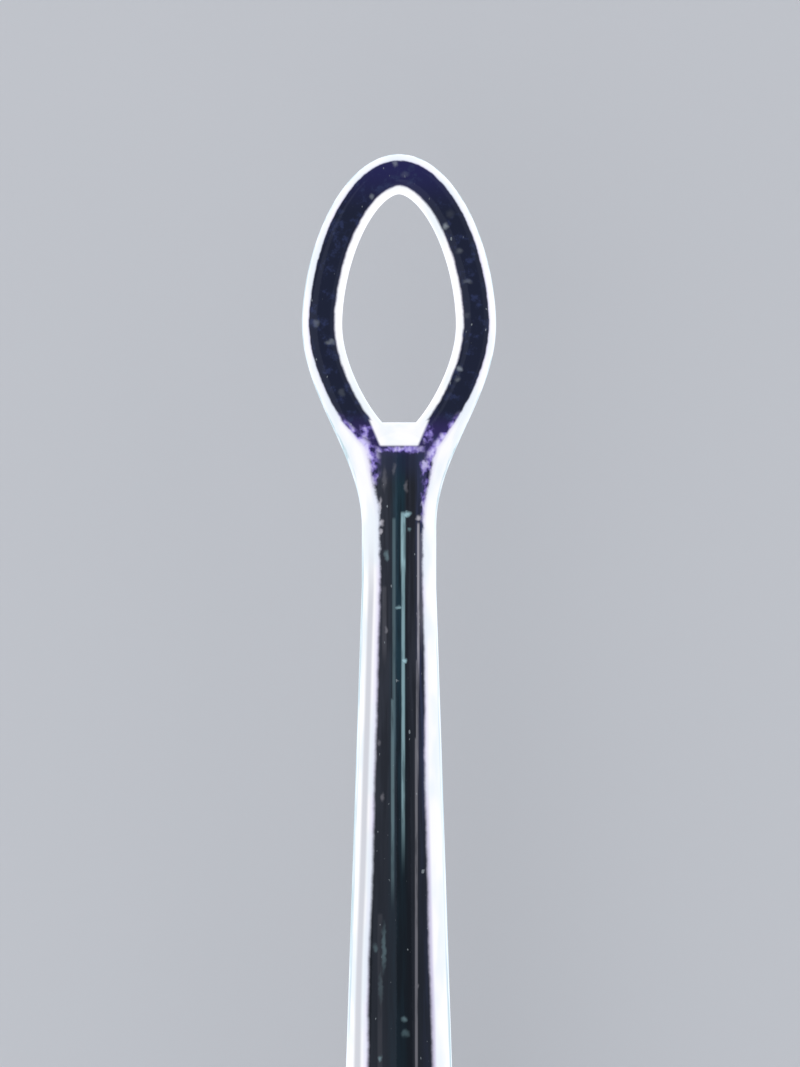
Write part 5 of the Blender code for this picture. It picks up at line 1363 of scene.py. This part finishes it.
def edge_light(tree, rim, eye, across, back, beyond):
    """How much painted light leaves the surface, and its colour: along the outline, round the eye and at
    the sloped end face, painted on by the plan distances as emission. The stem's left rim carries a
    painted dimmer grey line and its right rim a lavender one, and the outer edges of the rims carry
    painted teal reflections in long lines."""
    wander = speckle(tree, millimetres(tree), 4.0, 3.0, 0.65)
    wander = maths(tree, "SUBTRACT", wander, 0.5)
    uneven = times(tree, wander, slope(tree, back, 7.5, 10.0, 0.36, 0.12))
    outer_line = slope(tree, maths(tree, "ADD", rim, uneven), 0.88, 1.12, 1.0, 0.0)
    eye_line = slope(tree, maths(tree, "ADD", eye, uneven), 0.8, 1.2, 1.0, 0.0)
    wide = maths(tree, "MULTIPLY_ADD", beyond, -0.42, 0.59)
    side = maths(tree, "SUBTRACT", maths(tree, "ABSOLUTE", across), wide)
    between = slope(tree, side, -0.03, 0.04, 1.0, 0.0)
    face = times(tree, between, band(tree, beyond, 0.22, 0.24, 0.06))
    lit = most(tree, outer_line, most(tree, eye_line, face))
    shades = ramp(
        tree,
        rim,
        [
            (0.0, tint("rim_cool")),
            (0.16, tint("rim")),
            (0.72, tint("rim")),
            (1.0, tint("rim_lavender")),
        ],
    )
    shades = blend(tree, most(tree, eye_line, face), shades, tint("rim"))
    patch = slope(tree, speckle(tree, millimetres(tree, (1, 0.4, 1)), 1.6, 2.0), 0.42, 0.62, 0.0, 0.6)
    shades = blend(tree, patch, shades, tint("rim_cool"))
    on_stem = slope(tree, back, 7.6, 9.5)
    # Painted dimmer grey line in the stem's left rim, and painted teal reflections at the rims' outer
    # edges
    painted_grey_line = times(tree, band(tree, rim, 0.52, 0.07, 0.16), slope(tree, across, 0.0, -0.1))
    shades = blend(tree, times(tree, painted_grey_line, on_stem), shades, tint("rim_grey"))
    drawn = speckle(tree, millimetres(tree, (6, 0.3, 6)), 1.0, 3.0, 0.6)
    painted_flank_lines = times(tree, slope(tree, rim, 0.2, 0.05), slope(tree, drawn, 0.42, 0.6, 0.0, 0.9))
    shades = blend(tree, painted_flank_lines, shades, tint("teal"))
    inner = times(tree, slope(tree, rim, 0.77, 0.92), slope(tree, across, 0.0, 0.1))
    inner = times(tree, inner, slope(tree, back, 12.0, 14.5))
    shades = blend(tree, inner, shades, tint("rim_lavender", 0.85))
    return lit, shades


def violet_fringe(tree, rim, across, back):
    """Where the painted violet light shows beside the rims round the crotch, and its mottled colour."""
    near_crotch = band(tree, back, 6.0, 0.35, 0.4)
    beside_rim = times(tree, slope(tree, rim, 1.6, 1.1), near_crotch)
    spots = streaks(tree, wandering(tree, across, 0.0), wandering(tree, back, 5.0), VIOLET_SPOTS)
    fringe = most(tree, beside_rim, spots)
    mottle = speckle(tree, millimetres(tree), 5.5, 2.0, 0.45)
    fringe = times(tree, fringe, slope(tree, mottle, 0.3, 0.46, 0.3, 1.0))
    violets = ramp(
        tree,
        mottle,
        [
            (0.38, tint("violet_dark")),
            (0.5, tint("violet")),
            (0.64, tint("violet_pale")),
        ],
    )
    return fringe, violets


def marks_over(tree, core, across, back):
    """Painted light over the core's painted shade: fine bright dots, the long painted reflections, which
    a drawn-out noise breaks up, and the pale spots and glints over it."""
    grain = speckle(tree, millimetres(tree, (1.3, 0.7, 1.3)), 9.0, 1.0)
    speck_glints = slope(tree, grain, 0.74, 0.79, 0.0, 0.4)
    glow = blend(tree, speck_glints, core, tint("rim_cool", 0.5))
    drawn = speckle(tree, millimetres(tree, (6, 0.5, 6)), 1.2, 4.0, 0.65)
    broken = slope(tree, drawn, 0.36, 0.56, 0.45, 1.0)
    near_across, near_back = wandering(tree, across, 2.0, 0.12), wandering(tree, back, 8.0, 0.16)
    for lines, spots, shade in (
        (MAUVE_STREAKS, MAUVE_SPOTS, "mauve"),
        (TEAL_STREAKS, TEAL_SPOTS, "teal"),
    ):
        mask = times(tree, streaks(tree, across, back, lines), broken)
        mask = most(tree, mask, dots(tree, near_across, near_back, spots))
        glow = blend(tree, mask, glow, tint(shade))
    fleck_glints = dots(tree, near_across, near_back, LOOP_GLINTS)
    return blend(tree, fleck_glints, glow, tint("rim_cool", 0.6))


def clear_acrylic(tree, shader, tip, hub, floor_back):
    """The lit clear moulding, with its light and shade painted into the emission. Painted light leaves it
    at its rims, which the two plan distances on the mesh place, at the sloped end face behind the eye and
    along thin painted reflections in the stem, and the inside between them is painted dark, with a black
    base colour under the transmission. Towards the hub the moulding grows clear, and painted light of the
    lamp shows at the stem's root. floor_back is the place of the eye's floor, in millimetres like every
    place here."""
    clear_from, clear_to, dim_from, dim_to = 24.0, 46.0, 20.0, 52.0
    black = (0, 0, 0, 1)
    rim = put(tree, "ShaderNodeAttribute", attribute_name="rim").outputs["Fac"]
    eye = put(tree, "ShaderNodeAttribute", attribute_name="eye").outputs["Fac"]
    place = put(tree, "ShaderNodeSeparateXYZ", {0: millimetres(tree)}).outputs
    across = place[0]
    back = maths(tree, "SUBTRACT", TIP_END / MM, place[1])
    beyond = maths(tree, "SUBTRACT", back, floor_back)
    core = core_glow(tree, tip, hub, across, back)
    glow = marks_over(tree, core, across, back)
    fringe, violets = violet_fringe(tree, rim, across, back)
    glow = blend(tree, fringe, glow, violets)
    # Share of the painted dark core: 1 towards the tip, where the emission keeps the painted shade and
    # the base colour is black, 0 towards the hub
    seen = slope(tree, back, clear_from, clear_to, 1.0, 0.0)
    glow = blend(tree, seen, black, glow)
    lit, shades = edge_light(tree, rim, eye, across, back, beyond)
    faded = times(tree, lit, slope(tree, back, dim_from, dim_to, 1.0, 0.12))
    glow = blend(tree, faded, glow, shades)
    # Painted glow of the lamp at the stem's root
    near_lamp = band(tree, back, stem_end(hub) / MM + 1.0, 1.5, 2.5)
    glow = blend(tree, times(tree, near_lamp, 0.15), glow, tint("rim_cool"))
    strength = bpy.context.scene.curette_finishes.glow
    feed(tree, shader, {"Emission Color": glow, "Emission Strength": strength})
    cast, sheen = blend(tree, seen, tint("clear"), black), (0.4, 0.45, 0.6, 1.0)
    relief = bump(tree, speckle(tree, millimetres(tree), 7.0, 4.0, 0.7), 0.002)
    feed(tree, shader, {"Base Color": cast, "Specular Tint": sheen, "Normal": relief})
    feed(tree, shader, {"Transmission Weight": 0.9, "Roughness": 0.05, "IOR": 1.49})


# Inner pieces that keep their solid shape, by the slot whose finish they get
KEPT_NODES = {
    "nickel": "cell_1 cell_2 cell_3 contact_spring front_contact led_anode_lead led_cathode_lead "
    "negative_strip spring_plate switch_frame switch_pin_1 switch_pin_2 switch_pin_3 switch_wiper",
    "dark_plastic": "led_retainer resistor switch_base switch_slider",
    "board_laminate": "circuit_board",
}


class CURETTE_OT_kept_nodes(bpy.types.Operator):
    """Gives the inner pieces that keep their solid shape their finishes"""

    bl_idname = "curette.kept_nodes"
    bl_label = "Inner pieces"

    def execute(self, context):
        for slot, nodes in KEPT_NODES.items():
            for node in nodes.split():
                for place in frame["nodes"][node].material_slots:
                    place.material = finish(slot)
        return {"FINISHED"}


class CURETTE_OT_studio(bpy.types.Operator):
    """Sets the pale floor, the soft lights and the camera that looks straight down on the loop"""

    bl_idname = "curette.studio"
    bl_label = "Studio"

    def execute(self, context):
        studio = context.scene.curette_studio
        self.floor(studio)
        self.lights(studio)
        self.camera(context, studio)
        return {"FINISHED"}

    def floor(self, studio):
        """A round sheet, level with the underside, that runs far past the picture and then curves up
        along a sixth of a circle."""
        flat, bend = 2.0, 1.0
        ring = np.linspace(0, FULL_TURN, 96, endpoint=False)
        turn = np.linspace(0, math.pi / 3, 24)
        spread = np.concatenate([[0, flat / 4, flat / 2], flat + bend * np.sin(turn)])[:, None]
        rise = np.concatenate([[0, 0, 0], bend * (1 - np.cos(turn))])[:, None]
        level = rise - AXIS_HEIGHT + 0 * ring
        points = np.stack([spread * np.cos(ring), spread * np.sin(ring), level], axis=-1)
        mesh = mesh_of("floor", [(points, False, True)])
        mesh.shade_smooth()
        mesh.materials.append(painted("plain_floor", self.matt_paint, studio.floor))
        ground = shown("floor", mesh)

    def matt_paint(self, tree, shader, shade):
        """Matt paint with barely seen clouds."""
        cloud = speckle(tree, put(tree, "ShaderNodeTexCoord").outputs["Object"], 6.0, 2.0)
        toned = blend(tree, cloud, rgba(shade, 0.985), rgba(shade, 1.015))
        feed(tree, shader, {"Base Color": toned, "Roughness": 0.85, "Specular IOR Level": 0.1})

    def lights(self, studio):
        """An even pale light from all round, and three large soft lamps that aim at the middle."""
        world = bpy.data.worlds.new("studio")
        bpy.context.scene.world = world
        world.use_nodes = True
        sky = world.node_tree.nodes["Background"]
        feed(world.node_tree, sky, {"Color": (0.93, 0.95, 1.0, 1.0), "Strength": studio.sky})
        for name, place, size, power in (
            ("key", (-0.5, -0.2, 0.8), 1.1, studio.key),
            ("fill", (0.7, 0.3, 0.55), 0.9, studio.key * 0.4),
            ("rear", (0.0, -0.9, 0.5), 0.8, studio.key * 0.4),
        ):
            lamp = bpy.data.lights.new(name, "AREA")
            lamp.energy, lamp.size = power, size
            holder = shown(name, lamp)
            holder.location = place
            aim = -np.array(place)
            yaw = math.atan2(aim[0], -aim[1])
            pitch = math.atan2(math.hypot(aim[0], aim[1]), -aim[2])
            holder.rotation_euler = (pitch, 0, math.pi + yaw)
            holder.visible_camera = False

    def camera(self, context, studio):
        """Straight down on the loop with its tip up, as far off as the lens needs for the frame."""
        eye = bpy.data.cameras.new("camera")
        eye.lens = studio.lens
        eye.sensor_fit, eye.sensor_height, eye.sensor_width = "VERTICAL", 36.0, 27.0
        away = studio.frame_height * eye.lens / eye.sensor_height
        eye.clip_start = away / 20
        eye.clip_end = 20
        holder = shown("camera", eye)
        holder.location = (studio.frame_side, TIP_END - studio.frame_back, AXIS_HEIGHT + away)
        context.scene.camera = holder
        context.scene.view_settings.view_transform = "Standard"


OPERATORS = (
    CURETTE_OT_light_guide,
    CURETTE_OT_nose,
    CURETTE_OT_shells,
    CURETTE_OT_grip,
    CURETTE_OT_button,
    CURETTE_OT_tail,
    CURETTE_OT_screws,
    CURETTE_OT_kept_nodes,
    CURETTE_OT_studio,
)

GROUPS = {
    "curette_tip": CuretteTipSizes,
    "curette_hub": CuretteHubSizes,
    "curette_handle": CuretteHandleSizes,
    "curette_finishes": CuretteFinishes,
    "curette_studio": CuretteStudio,
}


class CURETTE_PT_pieces(bpy.types.Panel):
    """Lists the steps that build the instrument, and their sizes"""

    bl_idname = "CURETTE_PT_pieces"
    bl_label = "Lighted ear curette"
    bl_space_type = "VIEW_3D"
    bl_region_type = "UI"
    bl_category = "Curette"

    def draw(self, context):
        column = self.layout.column()
        for operator in OPERATORS:
            column.operator(operator.bl_idname, text=operator.bl_label)
        for name, group in GROUPS.items():
            box = column.box()
            for key in group.__annotations__:
                box.prop(getattr(context.scene, name), key)


def register():
    """Adds the sizes, the steps and the panel to Blender."""
    for kind in (*GROUPS.values(), *OPERATORS, CURETTE_PT_pieces):
        bpy.utils.register_class(kind)
    for name, group in GROUPS.items():
        setattr(bpy.types.Scene, name, bpy.props.PointerProperty(type=group))


def unregister():
    """Takes the panel, the steps and the sizes away again."""
    for name in GROUPS:
        delattr(bpy.types.Scene, name)
    for kind in (CURETTE_PT_pieces, *OPERATORS[::-1], *list(GROUPS.values())[::-1]):
        bpy.utils.unregister_class(kind)


def main():
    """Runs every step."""
    register()
    for operator in OPERATORS:
        family, step = operator.bl_idname.split(".")
        getattr(getattr(bpy.ops, family), step)()


if __name__ == "__main__":
    main()
